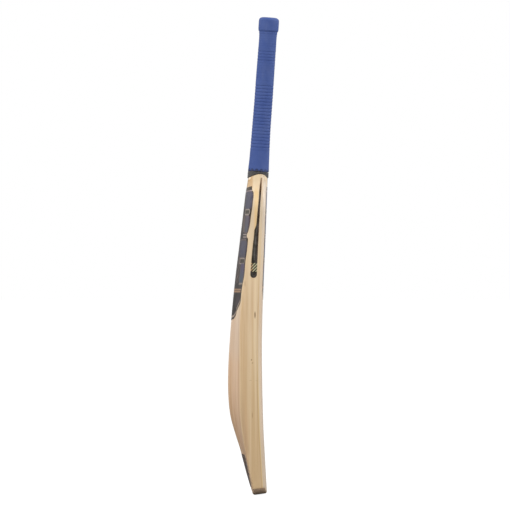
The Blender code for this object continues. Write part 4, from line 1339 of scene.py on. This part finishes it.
for piece, node, slot in ((blade, "blade", "willow"), (guard, "toe_guard", "guard"),
                          (grip, "grip", "grip"), (tape, "shoulder_tape", "tape"),
                          (back_film, "back_sticker", "sticker_back"),
                          (face_film, "face_sticker", "sticker_face"),
                          (toe_film, "toe_sticker", "sticker_toe"),
                          (edge_left, "edge_sticker_left", "sticker_edge"),
                          (edge_right, "edge_sticker_right", "sticker_edge")):
    register(piece, node)

# ------------------------------------------------------------------ studio
FLOOR_HALF, FLOOR_Z = 60.0, -0.0024
FLOOR_GREY, FLOOR_GLOW = 0.14, 0.93  # the glow is seen by the camera only
WORLD_LIGHT = 0.97
LIGHT_TARGET = Vector((0.0, 0.0, 0.45))
WARM = (1.0, 0.985, 0.965)
# name, place, size, watts, seen in reflections
SOFTBOXES = [("front", (0.35, -2.7, 1.9), (1.5, 1.5), 29.0, True),
             ("left", (-2.5, -0.6, 1.5), (1.3, 1.6), 23.0, True),
             ("right", (2.5, 0.1, 1.5), (1.3, 1.6), 23.0, True),
             ("rear_left", (-1.5, 2.1, 1.5), (1.3, 1.6), 12.0, False),
             ("rear_right", (1.9, 1.7, 1.5), (1.3, 1.6), 9.0, False)]
CAMERA_DISTANCE = 14.0
CAMERA_X, CAMERA_Z = -0.0089, 0.4262
FRAME_WIDTH = 0.9114                 # width of view at the bat

scene = bpy.context.scene
scene.view_settings.view_transform = "Standard"
scene.view_settings.look = "None"


def build_floor():
    mesh = bpy.data.meshes.new("studio_floor")
    corners = [(-1, -1), (1, -1), (1, 1), (-1, 1)]
    mesh.from_pydata([(x * FLOOR_HALF, y * FLOOR_HALF, FLOOR_Z) for x, y in corners],
                     [], [(0, 1, 2, 3)])
    floor = bpy.data.objects.new("studio_floor", mesh)
    scene.collection.objects.link(floor)
    material = bpy.data.materials.new("studio_floor")
    material.use_nodes = True
    tree = material.node_tree
    tree.nodes.clear()
    path = add_node(tree, "ShaderNodeLightPath")
    glow = add_node(tree, "ShaderNodeMath", {0: path.outputs["Is Camera Ray"], 1: FLOOR_GLOW},
                    operation="MULTIPLY")
    diffuse = add_node(tree, "ShaderNodeBsdfDiffuse", {0: (FLOOR_GREY,) * 3})
    emission = add_node(tree, "ShaderNodeEmission", {0: (1, 1, 1), 1: glow.outputs[0]})
    total = add_node(tree, "ShaderNodeAddShader", {0: diffuse.outputs[0], 1: emission.outputs[0]})
    add_node(tree, "ShaderNodeOutputMaterial", {0: total.outputs[0]})
    mesh.materials.append(material)


def build_world():
    """White to the camera, a soft light to everything else."""
    world = bpy.data.worlds.new("studio")
    scene.world = world
    world.use_nodes = True
    tree = world.node_tree
    tree.nodes.clear()
    seen = add_node(tree, "ShaderNodeBackground", {0: (1, 1, 1), 1: 1.0})
    light = add_node(tree, "ShaderNodeBackground", {0: (1.0, 0.99, 0.98), 1: WORLD_LIGHT})
    path = add_node(tree, "ShaderNodeLightPath")
    mix = add_node(tree, "ShaderNodeMixShader", {0: path.outputs["Is Camera Ray"],
                                                 1: light.outputs[0], 2: seen.outputs[0]})
    add_node(tree, "ShaderNodeOutputWorld", {0: mix.outputs[0]})


def build_softbox(name, place, size, watts, glossy):
    light = bpy.data.lights.new(name, "AREA")
    light.shape = "RECTANGLE"
    light.size, light.size_y = size
    light.energy = watts
    light.color = WARM
    box = bpy.data.objects.new(name, light)
    box.location = place
    box.rotation_euler = (LIGHT_TARGET - Vector(place)).to_track_quat("-Z", "Y").to_euler()
    box.visible_camera = False
    box.visible_glossy = glossy
    scene.collection.objects.link(box)


def build_camera():
    """Looks along +y at the bat's edge."""
    data = bpy.data.cameras.new("camera")
    camera = bpy.data.objects.new("camera", data)
    scene.collection.objects.link(camera)
    data.sensor_fit = "HORIZONTAL"
    data.angle = 2 * math.atan(FRAME_WIDTH / 2 / CAMERA_DISTANCE)
    data.clip_end = 200.0
    camera.location = (CAMERA_X, -CAMERA_DISTANCE, CAMERA_Z)
    camera.rotation_euler = (math.radians(90), 0, 0)
    scene.camera = camera


build_floor()
build_world()
for softbox in SOFTBOXES:
    build_softbox(*softbox)
build_camera()
